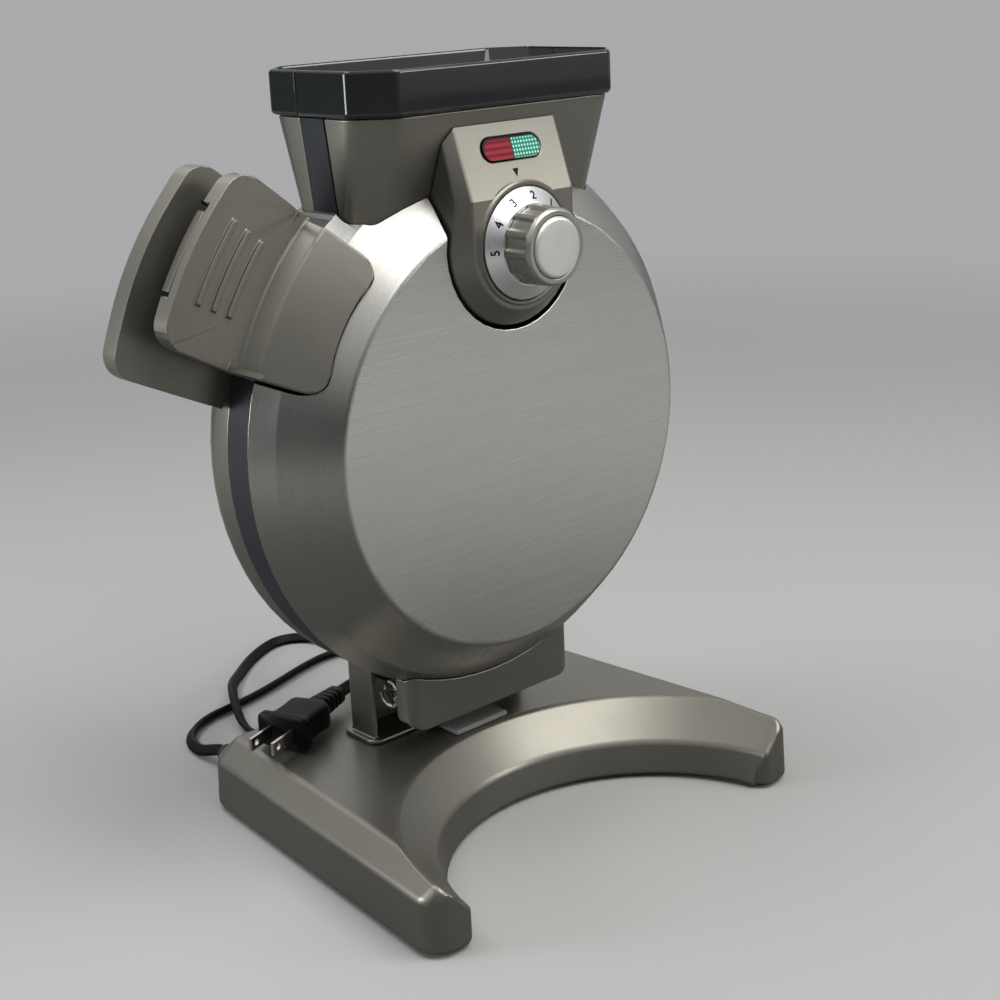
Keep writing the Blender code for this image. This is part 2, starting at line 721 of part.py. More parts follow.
def cover_skin(offset):
    """The cover's outer side, from its face's centre to its rim, moved by an offset; no fillets inside."""
    points = [
        (0, COVER_DEPTH + offset),
        (COVER_FACE_RADIUS + offset * tan(pi / 8), COVER_DEPTH + offset),
        (COVER_SHOULDER_RADIUS + offset, COVER_SHOULDER_DEPTH + offset * tan(pi / 8)),
        (COVER_RIM_RADIUS + offset, 0),
    ]
    if offset < 0:
        return points
    return fillet_profile(points, (COVER_FACE_FILLET + offset, COVER_SHOULDER_FILLET + offset))


def housing_skin(offset):
    """The rear housing's outer side, from its front edge to its back's centre; no fillets inside."""
    front = -FRAME_DEPTH - SEAT_GAP / 2
    back = -FRAME_DEPTH - HOUSING_DEPTH
    points = [
        (HOUSING_RADIUS + offset, front),
        (HOUSING_RADIUS + offset, -FRAME_DEPTH - HOUSING_WALL_DEPTH),
        (HOUSING_BACK_RADIUS + offset, back - offset),
        (0, back - offset),
    ]
    if offset < 0:
        return points
    return fillet_profile(points, (HOUSING_FILLET + offset, HOUSING_FILLET + offset))


def disc_envelope(name, parent, sink=None):
    """Everything that the closed disc fills, grown by the seat gap: it trims what sits on the disc.

    A sink lets a piece reach in through the cover, down to the frame.
    """
    rear = housing_skin(SEAT_GAP)
    if sink is None:
        front = cover_skin(SEAT_GAP)
    else:
        front = cover_skin(-sink) + [(COVER_RIM_RADIUS, 0)]
    return turned(name, front + rear, parent)


def u_section(half_width, depth, corner, wall, outer_level, inner_level, back, share=SPOUT_ROUND_SHARE):
    """A U-shaped ring open at the back: outer side, then the inner side reversed.

    It lies in the local XZ plane, from the split at `back` forward by `depth`, or to the
    rear where depth is negative. The levels are local heights of the two sides. A corner is
    cut at 45 degrees, with the share of its leg as the radius of the cut's two ends.
    """
    way = 1 if depth > 0 else -1

    def side(half, reach, leg, level):
        far = back + way * reach
        turns = [(half, back), (half, far - way * leg), (half - leg, far), (0, far)]
        path = fillet_profile(turns, (leg * share, leg * share))[:-1]
        mirror = [(-x, z) for x, z in reversed(path)]
        return [(x, level, z) for x, z in path + mirror]

    outer = side(half_width, abs(depth), corner, outer_level)
    inner_corner = corner - wall * 2 * (1 - cos(pi / 4))
    inner = side(half_width - wall, abs(depth) - wall, inner_corner, inner_level)
    return outer + inner[::-1]


def full_section(half_width, depth, corner, level, back, margin):
    """A filled section of the spout's outer side, for trimming."""
    ring = u_section(half_width + margin, depth + margin, corner + margin, NECK_WALL, level, level, back)
    return ring[:len(ring) // 2]


def at_height(low, high, low_value, high_value, height):
    return low_value + (high_value - low_value) * (height - low) / (high - low)


def neck_half_width(height):
    return at_height(SPOUT_FOOT, NECK_TOP, NECK_BASE_HALF_WIDTH, NECK_TOP_HALF_WIDTH, height)


def spout_depth(height, way):
    foot = SPOUT_FOOT_DEPTH if way > 0 else REAR_SPOUT_FOOT_DEPTH
    return at_height(SPOUT_FOOT, NECK_TOP, foot, SPOUT_FRONT_DEPTH, height)


def spout_corner(height):
    return at_height(SPOUT_FOOT, NECK_TOP, SPOUT_FOOT_CORNER, SPOUT_CORNER, height)


def make_spout(name, way, back, parent):
    """One taupe half of the spout, way 1 in front and -1 at the rear."""
    rings = []
    for level in (SPOUT_BOTTOM, NECK_TOP - SEAT_GAP):
        rings.append(u_section(neck_half_width(level), way * spout_depth(level, way), spout_corner(level),
                               NECK_WALL, level, level, back))
    return loft(name, rings, parent, TAUPE)


def spout_cutter(name, way, back, parent, margin):
    """The outer shape of a spout half, grown by a margin, to open the shell that it passes."""
    rings = []
    for level in (SPOUT_BOTTOM - margin, NECK_TOP + CUT_OVERRUN):
        ring = full_section(neck_half_width(level), spout_depth(level, way), spout_corner(level), level, 0,
                            margin)
        rings.append([(x, y, back + way * (z if z > 0 else -CUT_OVERRUN)) for x, y, z in ring])
    return loft(name, rings, parent)


def make_rim(name, way, depth, liner_depth, back, parent):
    """Gloss rim half with its liner, which narrows to the slot between the plates."""
    liner_top = NECK_TOP - SEAT_GAP
    edge = RIM_EDGE
    rings = [
        u_section(LINER_FOOT_HALF_WIDTH, way * LINER_FOOT_DEPTH, LINER_FOOT_CORNER, LINER_WALL,
                  LINER_FOOT, LINER_FOOT, back),
        u_section(LINER_TOP_HALF_WIDTH, way * liner_depth, LINER_CORNER, LINER_WALL,
                  NECK_TOP, liner_top, back),
    ]
    outer = u_section(RIM_HALF_WIDTH, way * depth, RIM_CORNER, LINER_WALL, NECK_TOP, NECK_TOP, back,
                      RIM_ROUND_SHARE)
    inner = u_section(LINER_TOP_HALF_WIDTH, way * liner_depth, LINER_CORNER, LINER_WALL,
                      NECK_TOP, NECK_TOP, back)
    half = len(outer) // 2
    rings.append(outer[:half] + inner[half:])
    for drop, inset in ((RIM_TOP_ROUND, 0), (0, RIM_TOP_ROUND)):
        rings.append(u_section(RIM_HALF_WIDTH - inset, way * (depth - inset), RIM_CORNER - inset,
                               edge - inset, RIM_TOP - drop, RIM_TOP - drop, back, RIM_ROUND_SHARE))
    return loft(name, rings, parent, GLOSS_BLACK)


def make_cover():
    skin = cover_skin(0)
    inside = cover_skin(-COVER_SHEET)
    cover = turned("front_cover", skin + inside[::-1], LID, STEEL)
    slot = spout_cutter("cover_spout_cutter", 1, 0, LID, TRIM_GAP / 2)
    opening = pod_prism("cover_pod_cutter", POD_GAP, POD_FACE_DEPTH + CUT_OVERRUN, LID)
    window = board("cover_bracket_cutter", [bracket_outline(BRACKET_GAP)], -CUT_OVERRUN,
                   COVER_DEPTH, HANDLE)
    return cut(cover, slot, opening, window)


def pod_ring(growth, level, crease_level, top_level):
    """The pod's outline grown outward, with a depth of its own at the crease and at the top."""
    round_end = arc((0, DIAL_HEIGHT), POD_HALF_WIDTH + growth, pi, 2 * pi, POD_ARC_STEPS)
    half = POD_HALF_WIDTH + growth * POD_SLOPE_CHAMFER / POD_CHAMFER
    top = POD_TOP + min(growth, POD_TOP_SKIRT)
    ring = [(-half, top, top_level), (-half, POD_CREASE, crease_level)]
    ring += [(x, y, level) for x, y in round_end]
    ring += [(half, POD_CREASE, crease_level), (half, top, top_level)]
    return ring


def pod_prism(name, margin, front, parent):
    low = pod_ring(POD_CHAMFER + margin, 0, 0, 0)
    high = pod_ring(POD_CHAMFER + margin, front, front, front)
    return loft(name, [low, high], parent)


def make_pod():
    """Raised panel with chamfered sides: a sloped lamp face above a round-ended dial face."""
    skirt = POD_FACE_DEPTH - POD_CHAMFER
    rings = [
        pod_ring(POD_CHAMFER, 0, 0, 0),
        pod_ring(POD_CHAMFER, skirt, POD_FACE_DEPTH - POD_SLOPE_CHAMFER, POD_TOP_DEPTH - POD_SLOPE_CHAMFER),
        pod_ring(0, POD_FACE_DEPTH, POD_FACE_DEPTH, POD_TOP_DEPTH),
    ]
    pod = loft("control_pod", rings, LID, TAUPE, folded=True)
    reach = POD_HALF_WIDTH + POD_CHAMFER * 2
    below = box("pod_back_cutter", (-reach, 0, -CUT_OVERRUN),
                (reach, SPOUT_BOTTOM + SEAT_GAP, POD_BACK_DEPTH), LID)
    behind = spout_cutter("pod_spout_cutter", 1, SEAT_GAP, LID, SEAT_GAP)
    recess = rod("dial_recess_cutter", (0, DIAL_HEIGHT, POD_FACE_DEPTH - DIAL_RECESS),
                 (0, DIAL_HEIGHT, POD_FACE_DEPTH + CUT_OVERRUN), DIAL_RADIUS + DIAL_RECESS_GAP, LID,
                 steps=ROUND_STEPS * 2)
    bore = rod("shaft_bore_cutter", (0, DIAL_HEIGHT, 0),
               (0, DIAL_HEIGHT, POD_FACE_DEPTH), SHAFT_RADIUS + SEAT_GAP, LID, steps=SMALL_STEPS)
    pocket = lamp_board("lamp_pocket_cutter", -LAMP_LENGTH / 2, LAMP_LENGTH / 2, SEAT_GAP,
                        -LAMP_POCKET, CUT_OVERRUN)
    return cut(pod, below, behind, recess, bore, pocket)


def lamp_frame():
    """Matrix of the lamp face: X to the right, Y up the slope and Z out of it."""
    foot = Vector((0, POD_CREASE, POD_FACE_DEPTH))
    head = Vector((0, POD_TOP, POD_TOP_DEPTH))
    up = (head - foot).normalized()
    out = Vector((1, 0, 0)).cross(up)
    place = head + (foot - head) * LAMP_HEIGHT_SHARE
    turn = Matrix((Vector((1, 0, 0)), up, out)).transposed().to_4x4()
    return Matrix.Translation(place) @ turn


def lamp_board(name, left, right, margin, low, high, finish=None):
    """Part of the pill-shaped lamp window, square where the other lens meets it."""
    end = LAMP_WIDTH / 2 + margin
    whole = LAMP_LENGTH / 2
    left_round = end if left <= -whole else 0
    right_round = end if right >= whole else 0
    grow_left = margin if left_round else 0
    grow_right = margin if right_round else 0
    fit = 1 - SCREW_MERGE
    corners = [
        (left - grow_left, -end, left_round * fit), (right + grow_right, -end, right_round * fit),
        (right + grow_right, end, right_round * fit), (left - grow_left, end, left_round * fit),
    ]
    piece = board(name, [rounded(corners)], low, high, LID, finish)
    piece.matrix_basis = lamp_frame()
    return piece


def make_lamps():
    middle = SEAT_GAP / 2
    half = LAMP_LENGTH / 2
    floor = -LAMP_POCKET + SEAT_GAP
    for name, left, right, finish in (("lamp_red", -half, -middle, RED_LENS),
                                      ("lamp_green", middle, half, GREEN_LENS)):
        lens = lamp_board(name, left, right, 0, floor, LAMP_PROUD, finish)
        bevel(lens, LAMP_PROUD, 2)


def make_dial():
    """Conical numbered ring, fluted grip, cap and shaft: they turn together."""
    floor = -DIAL_RECESS + SEAT_GAP
    hub = SHAFT_RADIUS + SEAT_GAP
    profile = [(hub, floor + DIAL_THICKNESS), (KNOB_BASE_RADIUS + SEAT_GAP, floor + DIAL_THICKNESS),
               (DIAL_RADIUS, floor + DIAL_OUTER_THICKNESS), (DIAL_RADIUS, floor), (hub, floor)]
    turned("dial_ring", profile, DIAL, SILVER, ROUND_STEPS * 2, closed=True)
    base = floor + DIAL_THICKNESS + SEAT_GAP
    collar = base + KNOB_FLUTE_LENGTH + KNOB_FLUTE_END
    shoulder = collar + KNOB_COLLAR_LENGTH
    front = shoulder + KNOB_NOSE
    flute_shares = (0, 0, 0, 1, 1, 1, 1, 1)

    def grip_ring(radius, depth, level):
        ring = []
        for i in range(KNOB_RIBS * KNOB_RIB_POINTS):
            angle = 2 * pi * (i + 0.5) / (KNOB_RIBS * KNOB_RIB_POINTS)
            reach = radius - depth * flute_shares[i % KNOB_RIB_POINTS]
            ring.append((reach * cos(angle), reach * sin(angle), level))
        return ring

    knob = loft("knob", [
        grip_ring(KNOB_BASE_RADIUS, KNOB_FLUTE_DEPTH, base),
        grip_ring(KNOB_FRONT_RADIUS, KNOB_FLUTE_DEPTH, base + KNOB_FLUTE_LENGTH),
        grip_ring(KNOB_FRONT_RADIUS, 0, collar),
        grip_ring(KNOB_FRONT_RADIUS - KNOB_NOSE / 4, 0, shoulder),
        grip_ring(KNOB_FRONT_RADIUS - KNOB_NOSE, 0, front),
    ], DIAL, GRIP_GREY)
    bore = rod("knob_bore_cutter", (0, 0, -CUT_OVERRUN), (0, 0, base + SHAFT_BITE + SEAT_GAP),
               SHAFT_RADIUS + RUNNING_GAP, DIAL, steps=SMALL_STEPS)
    pocket = rod("cap_pocket_cutter", (0, 0, front - KNOB_CAP_POCKET), (0, 0, front + CUT_OVERRUN),
                 KNOB_CAP_RADIUS + SEAT_GAP, DIAL, steps=ROUND_STEPS * 2)
    cut(knob, bore, pocket)
    seat = front - KNOB_CAP_POCKET + SEAT_GAP
    top = seat + KNOB_CAP_THICKNESS
    rim = KNOB_CAP_RADIUS
    dome = [(0, top), (rim / 2, top), (rim - KNOB_CAP_DOME * 2, top - KNOB_CAP_DOME / 4),
            (rim - KNOB_CAP_DOME / 2, top - KNOB_CAP_DOME), (rim, top - KNOB_CAP_DOME * 2), (rim, seat),
            (0, seat)]
    turned("knob_cap", dome, DIAL, SATIN_CAP, ROUND_STEPS)
    shaft_foot = thermostat_top() + SEAT_GAP - POD_FACE_DEPTH
    rod("dial_shaft", (0, 0, shaft_foot), (0, 0, base + SHAFT_BITE), SHAFT_RADIUS, DIAL, PIN_STEEL,
        SMALL_STEPS)


def plate_back():
    """Depth of the front plate's back, which carries the element and the thermostat."""
    return -FRAME_DEPTH + CAVITY_HALF_DEPTH + PLATE_THICKNESS


def thermostat_top():
    return plate_back() + SEAT_GAP + THERMOSTAT_LENGTH


def make_plate(name, way, parent):
    """Waffle plate with square pegs, way 1 in front and -1 at the rear of the split."""
    rim = PLATE_GASKET_GAP / 2
    inner = PLATE_RADIUS - PLATE_RIM_WIDTH
    bed = CAVITY_HALF_DEPTH
    back = bed + PLATE_THICKNESS
    profile = [(0, back), (PLATE_RADIUS, back), (PLATE_RADIUS, rim), (inner, rim),
               (inner - PLATE_THICKNESS / 2, bed), (0, bed)]
    profile = [(r, -FRAME_DEPTH + way * z) for r, z in profile]
    if way < 0:
        profile.reverse()
    plate = turned(name, profile, parent, CAST_BLACK)
    pegs = make_pegs(name + "_pegs", way, inner, parent)
    slot = box(name + "_slot_cutter", (-SLOT_HALF_WIDTH, inner * cos(asin(SLOT_HALF_WIDTH / inner)) - PEG_TOP,
               -FRAME_DEPTH - bed if way < 0 else -FRAME_DEPTH - CUT_OVERRUN),
               (SLOT_HALF_WIDTH, PLATE_RADIUS + CUT_OVERRUN,
               -FRAME_DEPTH + CUT_OVERRUN if way < 0 else -FRAME_DEPTH + bed), parent)
    join(plate, pegs)
    return cut(plate, slot)


def make_pegs(name, way, inner, parent):
    """Rows of tapered square pegs inside the rim, with a gap for the dividing cross."""
    bm = bmesh.new()
    bed = CAVITY_HALF_DEPTH + MERGE_DISTANCE * 10
    rows = int(inner / PEG_PITCH) + 1
    limit = inner - PEG_BASE / 4
    for i in range(-rows, rows):
        for j in range(-rows, rows):
            x = (i + 0.5) * PEG_PITCH
            y = (j + 0.5) * PEG_PITCH
            if hypot(abs(x) + PEG_BASE / 2, abs(y) + PEG_BASE / 2) > limit:
                continue
            corners = []
            for half, depth in ((PEG_BASE / 2, bed), (PEG_TOP / 2, bed - PEG_HEIGHT)):
                z = -FRAME_DEPTH + way * depth
                corners.append([bm.verts.new((x + a * half, y + b * half, z))
                                for a, b in ((-1, -1), (1, -1), (1, 1), (-1, 1))])
            low, high = corners
            bm.faces.new(low)
            bm.faces.new(high)
            for k in range(4):
                n = (k + 1) % 4
                bm.faces.new((low[k], low[n], high[n], high[k]))
    return add_object(name, mesh_from(name, bm), parent)


def make_element(name, way, parent):
    """Open ring of sheathed heater, seated on the back of a plate."""
    back = CAVITY_HALF_DEPTH + PLATE_THICKNESS + SEAT_GAP + ELEMENT_TUBE_RADIUS
    depth = -FRAME_DEPTH + way * back
    start = -pi / 2 + ELEMENT_GAP_ANGLE / 2
    ring = arc((0, 0), ELEMENT_RADIUS, start, start + 2 * pi - ELEMENT_GAP_ANGLE, ELEMENT_POINTS)
    tube(name, [(x, y, depth) for x, y in ring], ELEMENT_TUBE_RADIUS, parent, ELEMENT_METAL)


def neck_outline(radius, inner_radius, half_gap):
    """C-shaped ring with a neck: the disc's edge and both sides of the spout."""
    start = asin(NECK_BASE_HALF_WIDTH / radius)
    inner_start = asin(half_gap / inner_radius)
    top = NECK_TOP - SEAT_GAP
    reach = NECK_TOP_HALF_WIDTH - NECK_STRIP
    outer = arc((0, 0), radius, pi / 2 - start, -3 * pi / 2 + start, DISC_STEPS)
    inner = arc((0, 0), inner_radius, -3 * pi / 2 + inner_start, pi / 2 - inner_start, DISC_STEPS)
    return ([(reach, top), (NECK_TOP_HALF_WIDTH, top)] + outer
            + [(-NECK_TOP_HALF_WIDTH, top), (-reach, top)] + inner)


def make_frame():
    """The lid's dark frame: a ring that holds the plate, with a strip up each side of the spout."""
    outline = neck_outline(FRAME_RADIUS, PLATE_RADIUS + SEAT_GAP, FRAME_GAP_HALF_WIDTH)
    return board("front_frame", [outline], -FRAME_DEPTH + SEAT_GAP / 2, -SEAT_GAP, LID, DARK_BAND)


def make_rear_frame():
    """Ring inside the rear housing that holds the rear plate."""
    outer = HOUSING_RADIUS - HOUSING_WALL - SEAT_GAP
    inner = PLATE_RADIUS + SEAT_GAP
    start = asin((NECK_BASE_HALF_WIDTH + TRIM_GAP) / outer)
    outline = arc((0, 0), outer, pi / 2 - start, -3 * pi / 2 + start, DISC_STEPS)
    outline += arc((0, 0), inner, -3 * pi / 2 + start, pi / 2 - start, DISC_STEPS)
    back = -FRAME_DEPTH - REAR_FRAME_DEPTH
    return board("rear_frame", [outline], back, -FRAME_DEPTH - SEAT_GAP / 2, DISC, DARK_BAND)


def make_housing():
    skin = housing_skin(0)
    inside = housing_skin(-HOUSING_WALL)
    housing = turned("rear_housing", inside[::-1] + skin, DISC, TAUPE)
    slot = spout_cutter("housing_spout_cutter", -1, -FRAME_DEPTH, DISC, SEAT_GAP)
    return cut(housing, slot)


def handle_outline(root, root_half, corner, corner_half, outer):
    return rounded([
        (root, -root_half, 0), (corner, -corner_half, HANDLE_CORNER_RADIUS),
        (outer, 0, HANDLE_BOW_RADIUS), (corner, corner_half, HANDLE_CORNER_RADIUS),
        (root, root_half, 0),
    ])


def sector(inner, outer, half_angle, steps):
    """Outline of a strip that follows the disc's edge."""
    inside = arc((0, 0), inner, -half_angle, half_angle, steps)
    outside = arc((0, 0), outer, half_angle, -half_angle, steps)
    return inside + outside


def bracket_outline(margin):
    """The bracket's outline over the cover: its inner edge follows the disc."""
    slope = (HANDLE_ROOT_HALF_WIDTH - BRACKET_INNER_HALF_WIDTH) / (HANDLE_ROOT - BRACKET_INNER)
    end_half = HANDLE_ROOT_HALF_WIDTH + slope * HANDLE_LAP + margin
    inner_half = BRACKET_INNER_HALF_WIDTH + margin
    corner = BRACKET_CORNER_RADIUS + margin
    return rounded([
        (BRACKET_INNER - margin, -inner_half, corner),
        (HANDLE_ROOT + HANDLE_LAP + margin, -end_half, 0), (HANDLE_ROOT + HANDLE_LAP + margin, end_half, 0),
        (BRACKET_INNER - margin, inner_half, corner), (BRACKET_MIDDLE - margin, 0, BRACKET_INNER_BOW),
    ])


def make_front_handle():
    """Bracket over the cover's shoulder and the flat grip, with three raised ridges."""
    face = HANDLE_FACE_DEPTH
    back = face - HANDLE_THICKNESS
    grip = board("handle_grip", [handle_outline(HANDLE_ROOT - HANDLE_LAP, HANDLE_ROOT_HALF_WIDTH,
                 HANDLE_CORNER, HANDLE_CORNER_HALF_WIDTH, HANDLE_OUTER)], back, face, HANDLE)
    bevel(grip, HANDLE_EDGE_ROUND, 2)
    handle = board("front_handle", [bracket_outline(0)], -BRACKET_BACK_DEPTH,
                   BRACKET_INNER_DEPTH + CUT_OVERRUN, HANDLE, TAUPE)
    high = COVER_DEPTH + CUT_OVERRUN
    far = HANDLE_ROOT + HANDLE_LAP * 2
    start = BRACKET_INNER - CUT_OVERRUN * 2
    roof = [(start, BRACKET_INNER_DEPTH), (BRACKET_CREST, BRACKET_INNER_DEPTH),
            (BRACKET_SHOULDER, BRACKET_SHOULDER_DEPTH), (BRACKET_FOOT, face), (far, face),
            (far, high), (start, high)]
    reach = HANDLE_CORNER_HALF_WIDTH
    roof_cutter = turned("handle_roof_cutter", roof[::-1], HANDLE, closed=True)
    behind = [(HANDLE_ROOT - HANDLE_LAP, -BRACKET_BACK_DEPTH - CUT_OVERRUN),
              (HANDLE_ROOT - HANDLE_LAP, -BRACKET_BACK_DEPTH), (HANDLE_ROOT, back), (far, back),
              (far, -BRACKET_BACK_DEPTH - CUT_OVERRUN)]
    behind_cutter = loft("handle_back_cutter", [[(u, v, d) for u, d in behind] for v in (-reach, reach)],
                         HANDLE)
    envelope = disc_envelope("handle_seat_cutter", HANDLE, BRACKET_SINK)
    notch = board("latch_notch_cutter", [sector(NOTCH_FLOOR, HANDLE_OUTER + CUT_OVERRUN, NOTCH_HALF_ANGLE,
                  LATCH_STEPS)], back - CUT_OVERRUN, face - NOTCH_SKIN, HANDLE)
    cut(handle, roof_cutter, behind_cutter)
    join(handle, grip)
    cut(handle, envelope, notch)
    for i, share in enumerate(RIDGE_SHARES):
        radius = HANDLE_ROOT + HANDLE_LENGTH * share
        strip = sector(radius - RIDGE_WIDTH / 2, radius + RIDGE_WIDTH / 2, RIDGE_HALF_ANGLE, RIDGE_STEPS)
        ridge = board("ridge_%d" % (i + 1), [strip], face - RIDGE_HEIGHT, face + RIDGE_HEIGHT, HANDLE)
        join(handle, ridge)
    for side in (-1, 1):
        inner = LATCH_ARM_HALF_WIDTH + SEAT_GAP
        ear = arc((LATCH_PIVOT, LATCH_PIVOT_DEPTH), LATCH_EAR_RADIUS, pi, 2 * pi, LATCH_STEPS)
        ear += [(LATCH_PIVOT + LATCH_EAR_RADIUS, back + HANDLE_EDGE_ROUND),
                (LATCH_PIVOT - LATCH_EAR_RADIUS, back + HANDLE_EDGE_ROUND)]
        rings = [[(u, side * v, d) for u, d in ear] for v in (inner, inner + LATCH_EAR_WIDTH)]
        name = "latch_ear_left" if side < 0 else "latch_ear_right"
        join(handle, loft(name, rings, HANDLE))
    bore = rod("latch_pin_cutter", (LATCH_PIVOT, -LATCH_PIN_HALF_LENGTH - CUT_OVERRUN, LATCH_PIVOT_DEPTH),
               (LATCH_PIVOT, LATCH_PIN_HALF_LENGTH + CUT_OVERRUN, LATCH_PIVOT_DEPTH),
               LATCH_PIN_RADIUS + RUNNING_GAP, HANDLE, steps=LATCH_STEPS * 2)
    return cut(handle, bore)


def make_latch():
    """Lever under the front grip: a bar at its outer edge, a barrel on a pin and a hook to the rear."""
    low = LATCH_FRONT_DEPTH - LATCH_THICKNESS
    latch = board("handle_latch", [sector(LATCH_INNER, LATCH_OUTER, LATCH_HALF_ANGLE, LATCH_STEPS)],
                  low - LATCH_PIVOT_DEPTH, LATCH_FRONT_DEPTH - LATCH_PIVOT_DEPTH, LATCH, TAUPE)
    for vertex in latch.data.vertices:
        vertex.co.x -= LATCH_PIVOT
    plate_low = low - LATCH_PIVOT_DEPTH
    plate_high = plate_low + LATCH_THICKNESS / 2
    plate = box("latch_plate", (0, -LATCH_ARM_HALF_WIDTH, plate_low),
                (LATCH_INNER - LATCH_PIVOT + LATCH_TIP_RADIUS, LATCH_ARM_HALF_WIDTH, plate_high), LATCH)
    barrel = rod("latch_barrel", (0, -LATCH_ARM_HALF_WIDTH, 0), (0, LATCH_ARM_HALF_WIDTH, 0),
                 LATCH_BARREL_RADIUS, LATCH, steps=LATCH_STEPS * 2)
    hook_u = LATCH_HOOK - LATCH_PIVOT
    hook = box("latch_hook", (hook_u - LATCH_HOOK_WIDTH / 2, -LATCH_HOOK_HALF_WIDTH,
                              LATCH_HOOK_REACH - LATCH_PIVOT_DEPTH),
               (hook_u + LATCH_HOOK_WIDTH / 2, LATCH_HOOK_HALF_WIDTH, plate_high), LATCH)
    bore = rod("latch_bore_cutter", (0, -LATCH_ARM_HALF_WIDTH - CUT_OVERRUN, 0),
               (0, LATCH_ARM_HALF_WIDTH + CUT_OVERRUN, 0), LATCH_PIN_RADIUS + RUNNING_GAP, LATCH,
               steps=LATCH_STEPS * 2)
    join(latch, plate, barrel, hook)
    cut(latch, bore)
    rod("latch_pin", (LATCH_PIVOT, -LATCH_PIN_HALF_LENGTH, LATCH_PIVOT_DEPTH),
        (LATCH_PIVOT, LATCH_PIN_HALF_LENGTH, LATCH_PIVOT_DEPTH), LATCH_PIN_RADIUS, HANDLE, PIN_STEEL,
        LATCH_STEPS * 2)


def make_rear_handle():
    """Fixed grip behind the front one, on a block that seats on the rear housing."""
    face = -FRAME_DEPTH - SEAT_GAP
    back = face - REAR_HANDLE_THICKNESS
    root = HOUSING_RADIUS - HANDLE_LAP
    handle = board("rear_handle", [handle_outline(root, REAR_HANDLE_ROOT_HALF_WIDTH, REAR_HANDLE_CORNER,
                   REAR_HANDLE_CORNER_HALF_WIDTH, REAR_HANDLE_OUTER)], back, face, REAR_HANDLE, TAUPE)
    bevel(handle, HANDLE_EDGE_ROUND, 2)
    outer = HOUSING_RADIUS + REAR_BRACKET_WIDTH
    half = REAR_HANDLE_ROOT_HALF_WIDTH
    corner = BRACKET_CORNER_RADIUS / 2
    outline = rounded([(root, -half, 0), (outer, -half + HANDLE_EDGE_ROUND, corner),
                       (outer, half - HANDLE_EDGE_ROUND, corner), (root, half, 0)])
    block = board("rear_handle_block", [outline], face - REAR_BRACKET_DEPTH,
                  back + HANDLE_EDGE_ROUND * 2, REAR_HANDLE)
    join(handle, block)
    cut(handle, disc_envelope("rear_handle_seat_cutter", REAR_HANDLE))
    turn = HANDLE_ANGLE - REAR_HANDLE_ANGLE
    half = LATCH_HOOK_HALF_WIDTH + LATCH_SLOT_GAP
    wide = LATCH_HOOK_WIDTH / 2 + LATCH_SLOT_GAP
    slot = box("latch_slot_cutter", (LATCH_HOOK - wide, -half, back - CUT_OVERRUN),
               (LATCH_HOOK + wide * 2, half, face + CUT_OVERRUN), REAR_HANDLE)
    slot.rotation_euler = (0, 0, -turn)
    cut(handle, slot)
    for i, share in enumerate(RIDGE_SHARES):
        radius = HANDLE_ROOT + HANDLE_LENGTH * share
        if abs(radius - LATCH_HOOK) < wide * 2:
            continue
        strip = sector(radius - RIDGE_WIDTH / 2, radius + RIDGE_WIDTH / 2, RIDGE_HALF_ANGLE * 2,
                       RIDGE_STEPS * 2)
        ridge = board("rear_ridge_%d" % (i + 1), [strip], back - RIDGE_HEIGHT, back + RIDGE_HEIGHT,
                      REAR_HANDLE)
        join(handle, ridge)
    return handle


def ear(name, start, width, radius, back_y, low, high, side):
    """Hinge ear: a round end about the axis and a web back to what carries it."""
    x0 = side * start
    x1 = side * (start + width)
    barrel = rod(name, (x0, HINGE_Y, HINGE_Z), (x1, HINGE_Y, HINGE_Z), radius, MACHINE, steps=ROUND_STEPS)
    web = box(name + "_web", (min(x0, x1), min(HINGE_Y, back_y), low),
              (max(x0, x1), max(HINGE_Y, back_y), high), MACHINE)
    return [barrel, web]


